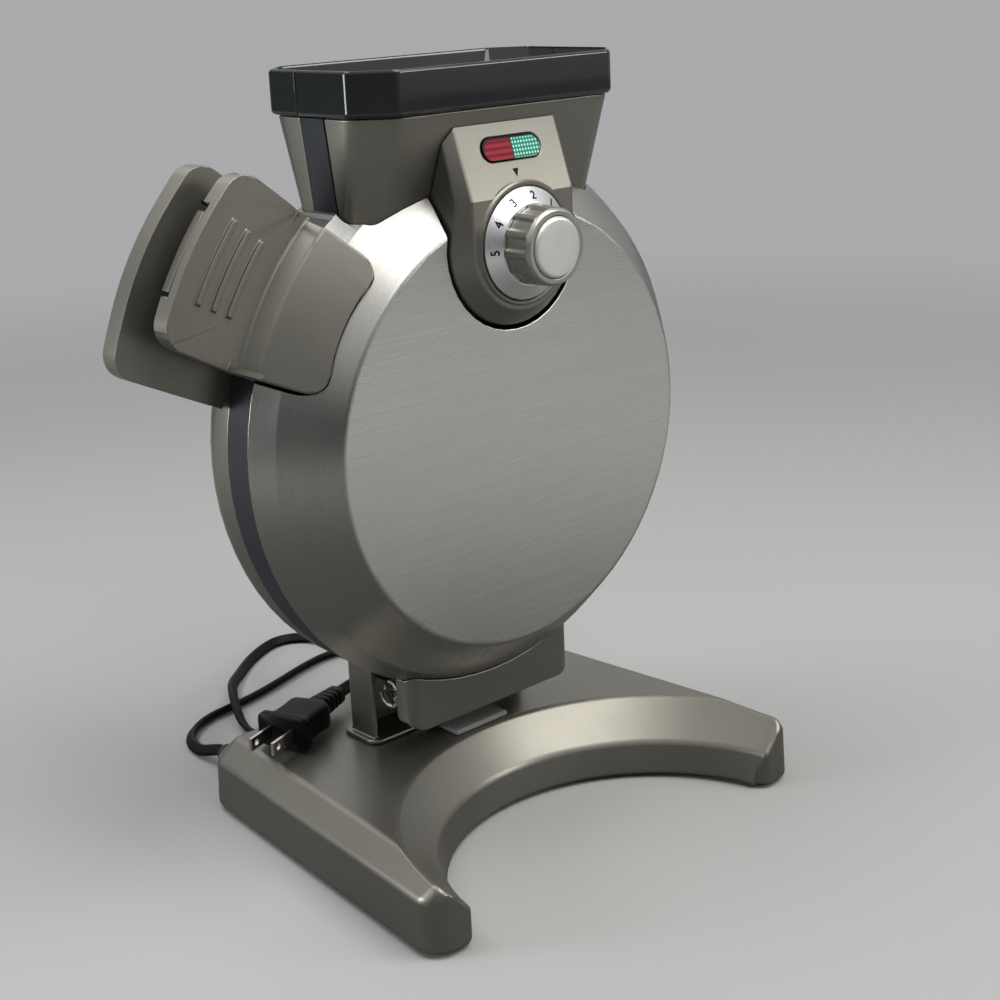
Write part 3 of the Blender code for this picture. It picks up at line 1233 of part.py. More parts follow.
def make_lid_arm():
    """Hollow arm below the lid: it covers the hinge and holds the lid's two ears."""
    corners = [(-ARM_HALF_WIDTH, ARM_BACK_Y, 0), (-ARM_HALF_WIDTH, ARM_FRONT_Y, ARM_CORNER),
               (ARM_HALF_WIDTH, ARM_FRONT_Y, ARM_CORNER), (ARM_HALF_WIDTH, ARM_BACK_Y, 0)]
    arm = board("lid_arm", [rounded(corners)], ARM_BOTTOM, ARM_TOP, MACHINE, TAUPE)
    inside = ARM_HALF_WIDTH - ARM_WALL
    high = ARM_TOP + CUT_OVERRUN
    low = ARM_BOTTOM - CUT_OVERRUN
    back = ARM_BACK_Y + CUT_OVERRUN
    skin = ARM_FRONT_Y + ARM_WALL
    hollow = [(-inside, back, 0), (-inside, skin, ARM_CORNER - ARM_WALL),
              (inside, skin, ARM_CORNER - ARM_WALL), (inside, back, 0)]
    bore = board("arm_hollow_cutter", [rounded(hollow)], low, high, MACHINE)
    outside = ARM_HALF_WIDTH + CUT_OVERRUN
    half = ARM_HALF_WIDTH + SEAT_GAP
    trim = [(half, high, 0), (half, ARM_BOTTOM, ARM_FOOT_CORNER), (-half, ARM_BOTTOM, ARM_FOOT_CORNER),
            (-half, high, 0)]
    frame = [(-outside, high), (-outside, low), (outside, low), (outside, high)] + rounded(trim)
    front = ARM_FRONT_Y - CUT_OVERRUN
    corner_cutter = loft("arm_foot_cutter", [[(x, y, z) for x, z in frame] for y in (front, back)], MACHINE)
    cut(arm, bore, corner_cutter)
    top = HINGE_Z + ARM_EAR_RADIUS * EAR_WEB_SHARE
    bottom = HINGE_Z - ARM_EAR_RADIUS * EAR_WEB_SHARE
    for side in (-1, 1):
        name = "arm_ear_left" if side < 0 else "arm_ear_right"
        join(arm, *ear(name, ARM_EAR_START, ARM_EAR_WIDTH, ARM_EAR_RADIUS, ARM_FRONT_Y + ARM_WALL / 2,
                       bottom, top, side))
    pin_hole = rod("arm_pin_cutter", (-PIN_END, HINGE_Y, HINGE_Z), (PIN_END, HINGE_Y, HINGE_Z),
                   PIN_RADIUS + RUNNING_GAP, MACHINE, steps=SMALL_STEPS)
    cut(arm, disc_envelope("arm_seat_cutter", DISC), pin_hole)
    arm.parent = LID_PIVOT
    arm.location = (0, -HINGE_Y, -HINGE_Z)
    return arm


def make_pedestal():
    """Column behind the hinge: a U in plan, stepped back below the disc, with ears for the pins."""
    half = PEDESTAL_HALF_WIDTH
    inside = half - PEDESTAL_WALL
    back_inside = PEDESTAL_BACK_Y - PEDESTAL_WALL
    outline = rounded([
        (-half, PEDESTAL_CHEEK_Y, 0), (-inside, PEDESTAL_CHEEK_Y, 0), (-inside, back_inside, 0),
        (inside, back_inside, 0), (inside, PEDESTAL_CHEEK_Y, 0), (half, PEDESTAL_CHEEK_Y, 0),
        (half, PEDESTAL_BACK_Y, PEDESTAL_CORNER), (-half, PEDESTAL_BACK_Y, PEDESTAL_CORNER),
    ])
    bottom = BASE_HEIGHT + SEAT_GAP
    pedestal = board("pedestal", [outline], bottom, PEDESTAL_TOP, MACHINE, TAUPE)
    step = box("pedestal_step_cutter",
               (-half - CUT_OVERRUN, PEDESTAL_CHEEK_Y - CUT_OVERRUN, bottom - CUT_OVERRUN),
               (half + CUT_OVERRUN, PEDESTAL_FRONT_Y, PEDESTAL_STEP_Z), MACHINE)
    reach = half + FOOT_FLANGE_REACH
    rear = PEDESTAL_BACK_Y + FOOT_FLANGE_REACH
    flange_outline = rounded([
        (-reach, FOOT_FLANGE_FRONT_Y, FOOT_FLANGE_CORNER), (reach, FOOT_FLANGE_FRONT_Y, FOOT_FLANGE_CORNER),
        (reach, rear, FOOT_FLANGE_CORNER), (-reach, rear, FOOT_FLANGE_CORNER),
    ])
    flange = board("pedestal_flange", [flange_outline], bottom, bottom + FOOT_FLANGE_HEIGHT, MACHINE)
    cut(pedestal, step)
    join(pedestal, flange)
    top = HINGE_Z + PEDESTAL_EAR_RADIUS * EAR_WEB_SHARE
    low = HINGE_Z - PEDESTAL_EAR_RADIUS * EAR_WEB_SHARE
    for side in (-1, 1):
        name = "pedestal_ear_left" if side < 0 else "pedestal_ear_right"
        join(pedestal, *ear(name, PEDESTAL_EAR_START, PEDESTAL_EAR_WIDTH, PEDESTAL_EAR_RADIUS,
                            back_inside + PEDESTAL_WALL / 2, low, top, side))
    past_ears = PEDESTAL_EAR_START + PEDESTAL_EAR_WIDTH + CUT_OVERRUN
    pin_hole = rod("pedestal_pin_cutter", (-past_ears, HINGE_Y, HINGE_Z), (past_ears, HINGE_Y, HINGE_Z),
                   PIN_RADIUS + RUNNING_GAP, MACHINE, steps=SMALL_STEPS)
    return cut(pedestal, disc_envelope("pedestal_seat_cutter", DISC), pin_hole)


def spring_points(side):
    """Curls about the pin, from the arm's ear outward."""
    start = ARM_EAR_START + ARM_EAR_WIDTH + SEAT_GAP + SPRING_WIRE_RADIUS
    count = SPRING_CURLS * SPRING_CURL_POINTS
    points = []
    for i in range(count + 1):
        angle = 2 * pi * i / SPRING_CURL_POINTS
        x = side * (start + SPRING_PITCH * i / SPRING_CURL_POINTS)
        points.append((x, HINGE_Y + SPRING_RADIUS * cos(angle), HINGE_Z + SPRING_RADIUS * sin(angle)))
    return points


def make_hinge():
    for side, word in ((-1, "left"), (1, "right")):
        rod("hinge_pin_" + word, (side * PIN_START, HINGE_Y, HINGE_Z), (side * PIN_END, HINGE_Y, HINGE_Z),
            PIN_RADIUS, MACHINE, PIN_STEEL, SMALL_STEPS)
        points = spring_points(side)
        tube("hinge_spring_" + word, points, SPRING_WIRE_RADIUS, MACHINE, SPRING_STEEL, resolution=1)
        report_gap("hinge_spring_" + word, points, SPRING_WIRE_RADIUS, SPRING_CURL_POINTS // 2)


def report_gap(name, points, radius, skip):
    """Print the least gap of a wound tube to itself, past the nearest points."""
    places = [Vector(p) for p in points]
    gaps = [(a - b).length for i, a in enumerate(places) for b in places[i + skip:]]
    print("%s: least gap to itself %.2f mm" % (name, (min(gaps) - 2 * radius) * 1000))


def base_outline(inset, front_inset):
    """The base's outer outline: a flared block with rounded corners, drawn in by its insets."""
    rear = BASE_REAR_Y - inset
    front = BASE_FRONT_Y + front_inset
    slope = (BASE_FRONT_HALF_WIDTH - BASE_REAR_HALF_WIDTH) / (BASE_REAR_Y - BASE_FRONT_Y)
    side = inset * hypot(1, slope)

    def half(y):
        return BASE_REAR_HALF_WIDTH + slope * (BASE_REAR_Y - y) - side

    rear_corner = max(BASE_REAR_CORNER - inset, BASE_REAR_CORNER / 4)
    front_corner = max(BASE_FRONT_CORNER - inset, BASE_FRONT_CORNER / 4)
    return rounded([(-half(front), front, front_corner), (half(front), front, front_corner),
                    (half(rear), rear, rear_corner), (-half(rear), rear, rear_corner)], BASE_CORNER_STEPS)


def dish_profile(margin):
    """The hollow in the base's front: a steep wall, then a flared band up to the top."""
    slope = (DISH_RIM_RADIUS - DISH_WALL_RADIUS) / (BASE_HEIGHT - DISH_WALL_HEIGHT)
    over = CUT_OVERRUN
    draft = (DISH_WALL_RADIUS - DISH_FOOT_RADIUS) / DISH_WALL_HEIGHT
    return [(0, BASE_HEIGHT + over), (DISH_RIM_RADIUS + slope * over + margin, BASE_HEIGHT + over),
            (DISH_WALL_RADIUS + margin, DISH_WALL_HEIGHT), (DISH_FOOT_RADIUS - draft * over + margin, -over),
            (0, -over)]


def make_base():
    levels = ((BASE_BOTTOM, 0, 0), (BASE_WALL_TOP, BASE_DRAFT, BASE_DRAFT),
              (BASE_HEIGHT, BASE_FACET, BASE_DRAFT * 2))
    rings = [[(x, y, z) for x, y in base_outline(inset, front)] for z, inset, front in levels]
    base = loft("base_shell", rings, MACHINE, TAUPE)
    dish = turned("dish_cutter", dish_profile(0), MACHINE)
    dish.location = (0, DISH_Y, 0)
    recess = tray("tray_cutter", 0, BASE_BOTTOM - CUT_OVERRUN, BASE_BOTTOM + TRAY_THICKNESS)
    return cut(base, dish, recess, tip_cutter(1), tip_cutter(-1))


def tip_cutter(side):
    """Rounds the inner corner of a front tip, between its end and the dish."""
    wall = at_height(0, 1, DISH_FOOT_RADIUS, DISH_WALL_RADIUS, TIP_WALL_SHARE)
    middle_y = BASE_FRONT_Y + TIP_ROUND
    middle_x = ((wall + TIP_ROUND) ** 2 - (middle_y - DISH_Y) ** 2) ** 0.5
    turn = atan2(DISH_Y - middle_y, -middle_x)
    points = arc((middle_x, middle_y), TIP_ROUND, -pi / 2, turn, CORNER_STEPS)
    points += [(middle_x - TIP_ROUND - CUT_OVERRUN, points[-1][1]),
               (middle_x - TIP_ROUND - CUT_OVERRUN, BASE_FRONT_Y - CUT_OVERRUN),
               (middle_x, BASE_FRONT_Y - CUT_OVERRUN)]
    name = "tip_cutter_left" if side < 0 else "tip_cutter_right"
    return board(name, [[(side * x, y) for x, y in points]], -CUT_OVERRUN, BASE_HEIGHT + CUT_OVERRUN, MACHINE)


def tray(name, shrink, low, high, finish=None):
    """Plate that closes the base from below, or the recess that it sits in."""
    inset = TRAY_MARGIN + shrink
    outline = base_outline(inset, inset)
    plate = board(name, [outline], low, high, MACHINE, finish)
    dish = turned(name + "_dish", dish_profile(inset), MACHINE)
    dish.location = (0, DISH_Y, 0)
    return cut(plate, dish)


def make_base_pieces():
    tray("base_tray", SEAT_GAP, BASE_BOTTOM + TRAY_LIP, BASE_BOTTOM + TRAY_THICKNESS - SEAT_GAP, CAST_BLACK)
    top = BASE_BOTTOM + TRAY_LIP - SEAT_GAP
    for word, x, y in (("front_left", -FOOT_FRONT_X, FOOT_FRONT_Y),
                       ("front_right", FOOT_FRONT_X, FOOT_FRONT_Y),
                       ("rear_left", -FOOT_REAR_X, FOOT_REAR_Y), ("rear_right", FOOT_REAR_X, FOOT_REAR_Y)):
        rod("foot_" + word, (x, y, 0), (x, y, top), FOOT_RADIUS - TRAY_LIP, MACHINE, RUBBER, SMALL_STEPS,
            end_radius=FOOT_RADIUS)
    bottom = BASE_HEIGHT + SEAT_GAP
    pad = box("lid_rest_pad", (-PAD_HALF_WIDTH, PAD_FRONT_Y, bottom),
              (PAD_HALF_WIDTH, PAD_BACK_Y, bottom + PAD_THICKNESS), MACHINE, PALE_PAD)
    bevel(pad, PAD_BEVEL, 1)


def smooth_route(points, step):
    """Points at an even step along a smooth curve through the route's own points."""
    places = [Vector(p) for p in points]
    padded = [places[0] * 2 - places[1]] + places + [places[-1] * 2 - places[-2]]
    dense = []
    parts = 12
    for a, b, c, d in zip(padded, padded[1:], padded[2:], padded[3:]):
        for i in range(parts):
            t = i / parts
            dense.append(0.5 * ((2 * b) + (c - a) * t + (2 * a - 5 * b + 4 * c - d) * t ** 2
                                + (3 * b - a - 3 * c + d) * t ** 3))
    dense.append(places[-1])
    lengths = [0]
    for first, second in zip(dense, dense[1:]):
        lengths.append(lengths[-1] + (second - first).length)
    total = lengths[-1]
    count = max(2, round(total / step))
    path = []
    at = 0
    for i in range(count + 1):
        wanted = total * i / count
        while at < len(lengths) - 2 and lengths[at + 1] < wanted:
            at += 1
        share = (wanted - lengths[at]) / (lengths[at + 1] - lengths[at])
        path.append(dense[at].lerp(dense[at + 1], share))
    return path, total


def make_cord():
    end = plug_length() + SEAT_GAP
    route = CORD_ROUTE[1:] + (plug_point(end + CORD_STRAIGHT),)
    path, total = smooth_route(route, CORD_STEP)
    path = [Vector(CORD_ROUTE[0])] + path + [Vector(plug_point(end))]
    print("cord's last points", [tuple(round(v, 4) for v in p) for p in path[-2:]])
    for first, second in ((path[0], path[1]), (path[-2], path[-1])):
        total += (second - first).length
    print("cord: %.3f m in %d points" % (total, len(path)))
    tube("cord", path, CORD_RADIUS, MACHINE, CORD_BLACK, resolution=2)
    wall = base_rear_wall(GLAND_Z - GLAND_ROOT_RADIUS)
    rod("cord_gland", (GLAND_X, wall + SEAT_GAP, GLAND_Z), (GLAND_X, wall + SEAT_GAP + GLAND_LENGTH, GLAND_Z),
        GLAND_ROOT_RADIUS, MACHINE, RUBBER, GLAND_STEPS, end_radius=GLAND_TIP_RADIUS)


def base_rear_wall(height):
    """Where the base's rear wall stands at a height."""
    return BASE_REAR_Y - BASE_DRAFT * (height - BASE_BOTTOM) / (BASE_WALL_TOP - BASE_BOTTOM)


def plug_length():
    return PLUG_BODY_LENGTH * PLUG_SHOULDER_SHARE + PLUG_BOOT_LENGTH


def plug_point(along):
    """A point on the plug's axis, this far behind its front."""
    return (PLUG_X + along * cos(PLUG_ANGLE), PLUG_Y + along * sin(PLUG_ANGLE), PLUG_Z)


def make_plug():
    """Two-blade plug lying on the base, blades to the left."""
    place = new_empty("plug_axis", MACHINE, (PLUG_X, PLUG_Y, PLUG_Z), (0, 0, PLUG_ANGLE))
    stations = (
        (0, PLUG_FLANGE_HALF_WIDTH, PLUG_FLANGE_HALF_HEIGHT),
        (PLUG_FLANGE_LENGTH, PLUG_FLANGE_HALF_WIDTH, PLUG_FLANGE_HALF_HEIGHT),
        (PLUG_FLANGE_LENGTH * PLUG_FLANGE_SLOPE_SHARE, PLUG_WAIST_HALF_WIDTH, PLUG_WAIST_HALF_HEIGHT),
        (PLUG_BODY_LENGTH, PLUG_WAIST_HALF_WIDTH, PLUG_WAIST_HALF_HEIGHT),
        (PLUG_BODY_LENGTH * PLUG_SHOULDER_SHARE, PLUG_TAIL_HALF_WIDTH, PLUG_TAIL_HALF_HEIGHT),
        (plug_length(), PLUG_TAIL_HALF_WIDTH * PLUG_TIP_WIDTH_SHARE,
         PLUG_TAIL_HALF_HEIGHT * PLUG_TIP_HEIGHT_SHARE),
    )
    rings = []
    for x, half_width, half_height in stations:
        corner = half_height * PLUG_CORNER_SHARE
        ring = rounded([(-half_width, -half_height, corner), (half_width, -half_height, corner),
                        (half_width, half_height, corner), (-half_width, half_height, corner)], 3)
        rings.append([(x, y, z) for y, z in ring])
    loft("plug_body", rings, place, CORD_BLACK)
    for word, side in (("left", 1), ("right", -1)):
        middle = side * BLADE_SPACING / 2
        blade = box("plug_blade_" + word,
                    (-BLADE_LENGTH - SEAT_GAP, middle - BLADE_THICKNESS / 2, -BLADE_WIDTH / 2),
                    (-SEAT_GAP, middle + BLADE_THICKNESS / 2, BLADE_WIDTH / 2), place, NICKEL)
        hole = rod("blade_hole_" + word, (-BLADE_LENGTH + BLADE_HOLE_INSET, middle - CUT_OVERRUN / 2, 0),
                   (-BLADE_LENGTH + BLADE_HOLE_INSET, middle + CUT_OVERRUN / 2, 0), BLADE_HOLE_RADIUS, place,
                   steps=12)
        cut(blade, hole)


def make_thermostat():
    foot = plate_back() + SEAT_GAP
    rod("thermostat", (0, DIAL_HEIGHT, foot), (0, DIAL_HEIGHT, foot + THERMOSTAT_LENGTH), THERMOSTAT_RADIUS,
        LID, BAKELITE, ROUND_STEPS)


def stand_on_origin():
    """Move the machine so that the origin is under the middle of its box, cord and plug left out."""
    bpy.context.view_layer.update()
    graph = bpy.context.evaluated_depsgraph_get()
    on_cord = ("cord", "cord_gland", "plug_body", "plug_blade_left", "plug_blade_right")
    low = Vector((1, 1, 1))
    high = -low
    for obj in PARTS.objects:
        if obj.type == "EMPTY" or obj.name in on_cord:
            continue
        seen = obj.evaluated_get(graph)
        mesh = seen.to_mesh()
        for vertex in mesh.vertices:
            place = seen.matrix_world @ vertex.co
            low = Vector(map(min, low, place))
            high = Vector(map(max, high, place))
        seen.to_mesh_clear()
    MACHINE.location = (-(low.x + high.x) / 2, -(low.y + high.y) / 2, -low.z)
    print("moved by", [round(v, 6) for v in MACHINE.location], "size", [round(v, 4) for v in high - low])


def build():
    make_cover()
    make_frame()
    make_plate("front_plate", 1, LID)
    make_element("front_heating_element", 1, LID)
    make_spout("front_spout", 1, SEAT_GAP, LID)
    make_rim("front_spout_rim", 1, FRAME_DEPTH + RIM_FRONT_DEPTH, LINER_TOP_DEPTH,
             -FRAME_DEPTH + SEAT_GAP / 2, LID)
    make_pod()
    make_lamps()
    make_thermostat()
    make_dial()
    make_front_handle()
    make_latch()
    make_housing()
    make_rear_frame()
    make_plate("rear_plate", -1, DISC)
    make_element("rear_heating_element", -1, DISC)
    make_spout("rear_spout", -1, -FRAME_DEPTH - SEAT_GAP / 2, DISC)
    make_rim("rear_spout_rim", -1, RIM_REAR_DEPTH, LINER_REAR_TOP_DEPTH, -FRAME_DEPTH - SEAT_GAP / 2, DISC)
    make_rear_handle()
    make_lid_arm()
    make_pedestal()
    make_hinge()
    make_base()
    make_base_pieces()
    make_cord()
    make_plug()
    stand_on_origin()


build()
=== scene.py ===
import json
import math

import bmesh
import bpy
from mathutils import Matrix, Vector


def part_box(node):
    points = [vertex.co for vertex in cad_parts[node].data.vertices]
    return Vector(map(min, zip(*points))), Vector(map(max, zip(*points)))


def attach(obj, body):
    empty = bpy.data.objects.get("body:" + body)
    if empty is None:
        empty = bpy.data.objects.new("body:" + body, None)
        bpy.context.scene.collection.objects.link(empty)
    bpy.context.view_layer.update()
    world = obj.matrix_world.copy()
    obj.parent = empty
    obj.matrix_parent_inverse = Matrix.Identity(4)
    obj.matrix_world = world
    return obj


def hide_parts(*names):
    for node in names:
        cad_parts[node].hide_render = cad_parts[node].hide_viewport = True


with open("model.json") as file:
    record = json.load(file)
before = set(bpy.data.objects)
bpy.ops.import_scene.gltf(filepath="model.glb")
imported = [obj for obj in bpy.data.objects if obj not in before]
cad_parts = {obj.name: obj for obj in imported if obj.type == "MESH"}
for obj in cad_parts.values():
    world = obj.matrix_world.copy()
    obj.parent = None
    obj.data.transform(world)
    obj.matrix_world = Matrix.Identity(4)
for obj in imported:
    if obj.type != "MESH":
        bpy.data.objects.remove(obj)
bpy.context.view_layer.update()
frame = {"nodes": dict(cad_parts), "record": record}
nodes = frame["nodes"]

# The middle of the disc stands at x 0, y 0 in the drawing, so everything made here shifts by home.
thermoLow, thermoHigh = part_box("thermostat")
bandRear = 0.01605  # how far behind the cover's rim the dark band ends
home = Vector(((thermoLow.x + thermoHigh.x) / 2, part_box("front_frame")[1].y - bandRear, 0))
discCentre = Vector((0, 0, 0.196)) + home
dialCentre = Vector((0, -0.0395, 0.2822)) + home
print("frame loaded, home", [round(v, 5) for v in home])


def nodeTree(name):
    material = bpy.data.materials.new(name)
    material.use_nodes = True
    tree = material.node_tree
    tree.nodes.clear()
    shader = tree.nodes.new("ShaderNodeBsdfPrincipled")
    output = tree.nodes.new("ShaderNodeOutputMaterial")
    tree.links.new(shader.outputs["BSDF"], output.inputs["Surface"])
    return material, tree, shader


def wire(tree, sockets, values):
    # fills each socket from another node's output or with a constant
    for socket, value in zip(sockets, values):
        if isinstance(value, bpy.types.NodeSocket):
            tree.links.new(value, socket)
        else:
            socket.default_value = value


def maths(tree, operation, *values):
    node = tree.nodes.new("ShaderNodeMath")
    node.operation = operation
    wire(tree, node.inputs, values)
    return node.outputs[0]


def vectorMaths(tree, operation, *values):
    node = tree.nodes.new("ShaderNodeVectorMath")
    node.operation = operation
    wire(tree, node.inputs, values)
    return node.outputs["Value" if operation == "LENGTH" else "Vector"]


def mixShaders(tree, factor, first, second):
    node = tree.nodes.new("ShaderNodeMixShader")
    wire(tree, node.inputs, (factor, first, second))
    return node.outputs[0]


def parts(tree, vector):
    # the X, Y and Z of a vector
    node = tree.nodes.new("ShaderNodeSeparateXYZ")
    tree.links.new(vector, node.inputs[0])
    return node.outputs


def noise(tree, coords, scale, detail=2.0, roughness=0.5, stretch=None):
    node = tree.nodes.new("ShaderNodeTexNoise")
    node.inputs["Scale"].default_value = scale
    node.inputs["Detail"].default_value = detail
    node.inputs["Roughness"].default_value = roughness
    if stretch is None:
        tree.links.new(coords, node.inputs["Vector"])
    else:
        mapping = tree.nodes.new("ShaderNodeMapping")
        mapping.inputs["Scale"].default_value = stretch
        tree.links.new(coords, mapping.inputs["Vector"])
        tree.links.new(mapping.outputs["Vector"], node.inputs["Vector"])
    return node.outputs["Fac"]


def ramp(tree, value, low, high, fromLow=0.0, fromHigh=1.0, smooth=False):
    node = tree.nodes.new("ShaderNodeMapRange")
    node.interpolation_type = "SMOOTHSTEP" if smooth else "LINEAR"
    node.inputs["From Min"].default_value = fromLow
    node.inputs["From Max"].default_value = fromHigh
    node.inputs["To Min"].default_value = low
    node.inputs["To Max"].default_value = high
    tree.links.new(value, node.inputs["Value"])
    return node.outputs["Result"]


def mixColour(tree, factor, first, second):
    # first and second are colours, or outputs of other nodes
    node = tree.nodes.new("ShaderNodeMix")
    node.data_type = "RGBA"
    tree.links.new(factor, node.inputs["Factor"])
    for name, value in (("A", first), ("B", second)):
        if isinstance(value, bpy.types.NodeSocket):
            tree.links.new(value, node.inputs[name])
        else:
            node.inputs[name].default_value = (*value, 1)
    return node.outputs["Result"]


def bump(tree, shader, height, strength, distance):
    node = tree.nodes.new("ShaderNodeBump")
    node.inputs["Strength"].default_value = strength
    node.inputs["Distance"].default_value = distance
    tree.links.new(height, node.inputs["Height"])
    tree.links.new(node.outputs["Normal"], shader.inputs["Normal"])


def objectCoords(tree):
    return tree.nodes.new("ShaderNodeTexCoord").outputs["Object"]


noiseSpan = (0.3, 0.7)  # where most values of a noise texture lie


def meshFrom(bm, name, turnOut=False):
    if turnOut:
        bmesh.ops.recalc_face_normals(bm, faces=bm.faces)
    mesh = bpy.data.meshes.new(name)
    bm.to_mesh(mesh)
    bm.free()
    return mesh


def addObject(name, data, finish=None):
    obj = bpy.data.objects.new(name, data)
    bpy.context.scene.collection.objects.link(obj)
    if finish:
        data.materials.append(finish)
    return obj


# the camera stands where the photograph was taken from, left of the machine and above it
cameraSettings = {
    "place": (-0.5073, -0.5854, 0.4028),
    "yaw": -41.6811,
    "pitch": -17.6965,
    "roll": -2.4729,
    "lens": 61.578,
    "sensor": 36.0,
}


def makeCamera(s):
    yaw, pitch, roll = (math.radians(s[k]) for k in ("yaw", "pitch", "roll"))
    level = math.cos(pitch)
    forward = Vector((-math.sin(yaw) * level, math.cos(yaw) * level, math.sin(pitch)))
    right = Vector((math.cos(yaw), math.sin(yaw), 0))
    up = right.cross(forward)
    across = right * math.cos(roll) + up * math.sin(roll)
    upward = up * math.cos(roll) - right * math.sin(roll)
    data = bpy.data.cameras.new("photoCamera")
    data.lens = s["lens"]
    data.sensor_width = s["sensor"]
    camera = addObject("photoCamera", data)
    turn = Matrix((across, upward, -forward)).transposed().to_4x4()
    camera.matrix_world = Matrix.Translation(Vector(s["place"]) + home) @ turn
    bpy.context.scene.camera = camera


makeCamera(cameraSettings)


studio = {
    "floorColour": (0.40, 0.40, 0.395),
    "horizon": (0.40, 0.405, 0.41),
    "ceiling": (0.90, 0.90, 0.90),
    "dusk": (0.085, 0.087, 0.090),
    "ceilingSpan": (0.06, 0.62),  # how steeply up the mirrored sky turns into the ceiling
    "duskSpan": (-0.45, 0.55),  # and how far from left to right its side turns from dusk to horizon
    "skyLight": (0.94, 0.97, 1.0),
    "skyLightStrength": 0.22,
    "floorSize": 6.0,
    "floorRough": 0.9,
    "floorSpecular": 0.1,
    "fadeSpan": (0.55, 1.7),
    # the painted shade that metal mirrors on the floor near the machine: its tone, reach and share
    "mirroredShadeTone": (0.05, 0.05, 0.05),
    "mirroredShadeSpan": (0.18, 0.80),
    "mirroredShadeShare": 0.72,
}


def pathKind(tree, *kinds):
    # 1 for rays of any of these kinds
    path = tree.nodes.new("ShaderNodeLightPath")
    total = path.outputs[kinds[0]]
    for kind in kinds[1:]:
        total = maths(tree, "MAXIMUM", total, path.outputs[kind])
    return total


def makeWorld(s):
    # one plain tone behind the machine, a dim side and a bright ceiling in what metal mirrors,
    # and an even light from all round
    world = bpy.data.worlds.new("studioWorld")
    bpy.context.scene.world = world
    world.use_nodes = True
    tree = world.node_tree
    tree.nodes.clear()
    output = tree.nodes.new("ShaderNodeOutputWorld")
    behind, mirrored, light = (tree.nodes.new("ShaderNodeBackground") for i in range(3))
    direction = parts(tree, tree.nodes.new("ShaderNodeTexCoord").outputs["Generated"])
    rise = ramp(tree, direction["Z"], 0, 1, *s["ceilingSpan"], smooth=True)
    across = ramp(tree, direction["X"], 0, 1, *s["duskSpan"], smooth=True)
    behind.inputs["Color"].default_value = (*s["horizon"], 1)
    side = mixColour(tree, across, s["dusk"], s["horizon"])
    tree.links.new(mixColour(tree, rise, side, s["ceiling"]), mirrored.inputs["Color"])
    light.inputs["Color"].default_value = (*s["skyLight"], 1)
    light.inputs["Strength"].default_value = s["skyLightStrength"]
    shade = light.outputs[0]
    seen = ((mirrored, ("Is Glossy Ray",)), (behind, ("Is Camera Ray", "Is Transmission Ray")))
    for background, rays in seen:
        shade = mixShaders(tree, pathKind(tree, *rays), shade, background.outputs[0])
    tree.links.new(shade, output.inputs["Surface"])


def makeFloor(s):
    # a plain pale floor that fades into the horizon's colour, so that no edge shows
    bm = bmesh.new()
    bmesh.ops.create_grid(bm, x_segments=1, y_segments=1, size=s["floorSize"])
    material, tree, shader = nodeTree("studioFloor")
    shader.inputs["Base Color"].default_value = (*s["floorColour"], 1)
    shader.inputs["Roughness"].default_value = s["floorRough"]
    shader.inputs["Specular IOR Level"].default_value = s["floorSpecular"]
    distance = vectorMaths(tree, "LENGTH", objectCoords(tree))
    fade = ramp(tree, distance, 0, 1, *s["fadeSpan"], smooth=True)
    fade = maths(tree, "MULTIPLY", fade, pathKind(tree, "Is Camera Ray", "Is Transmission Ray"))
    # in what metal mirrors, the floor close to the machine is painted dim: a painted shade for the
    # shadow round the machine
    near = ramp(tree, distance, s["mirroredShadeShare"], 0, *s["mirroredShadeSpan"], smooth=True)
    near = maths(tree, "MULTIPLY", near, pathKind(tree, "Is Glossy Ray"))
    shade = shader.outputs["BSDF"]
    for share, tone in ((fade, s["horizon"]), (near, s["mirroredShadeTone"])):
        glow = tree.nodes.new("ShaderNodeEmission")
        glow.inputs["Color"].default_value = (*tone, 1)
        shade = mixShaders(tree, share, shade, glow.outputs[0])
    output = next(n for n in tree.nodes if n.type == "OUTPUT_MATERIAL")
    tree.links.new(shade, output.inputs["Surface"])
    addObject("studioFloor", meshFrom(bm, "studioFloor"), material)


lamps = {
    # name: place, aimed at, width, height, watts, colour
    "key": ((0.25, -0.75, 1.45), (0, 0, 0.2), 1.3, 1.15, 22.0, (1.0, 0.99, 0.965)),
    "overhead": ((-0.35, 0.45, 1.3), (0, 0, 0.2), 1.1, 0.7, 9.0, (0.98, 0.99, 1.0)),
    "leftWindow": ((-1.25, 0.7, 0.40), (0, 0, 0.2), 0.5, 0.5, 9.0, (0.95, 0.98, 1.0)),
    "frontWindow": ((1.3, -1.55, 0.78), (0, 0, 0.25), 0.6, 0.45, 8.5, (1.0, 0.99, 0.97)),
}


def makeLamps(table):
    for name, (place, aim, width, height, watts, colour) in table.items():
        data = bpy.data.lights.new(name, "AREA")
        data.shape = "RECTANGLE"
        data.size = width
        data.size_y = height
        data.energy = watts
        data.color = colour
        lamp = addObject(name, data)
        lamp.location = Vector(place) + home
        lamp.rotation_euler = (Vector(aim) - Vector(place)).to_track_quat("-Z", "Y").to_euler()


makeWorld(studio)
makeFloor(studio)
makeLamps(lamps)
bpy.context.scene.view_settings.view_transform = "Standard"
print("camera, floor and lamps made")


paintSettings = {
    "dark": (0.172, 0.165, 0.142),
    "light": (0.202, 0.194, 0.168),
    "metal": 0.80,
    "rough": (0.30, 0.41),
    "flakeScale": 2600,
    "flakeSpan": (0.36, 0.64),
    "patchScale": 14,
    "grainScale": 900,
    "grainStrength": 0.35,
    "grainDepth": 0.00003,
}


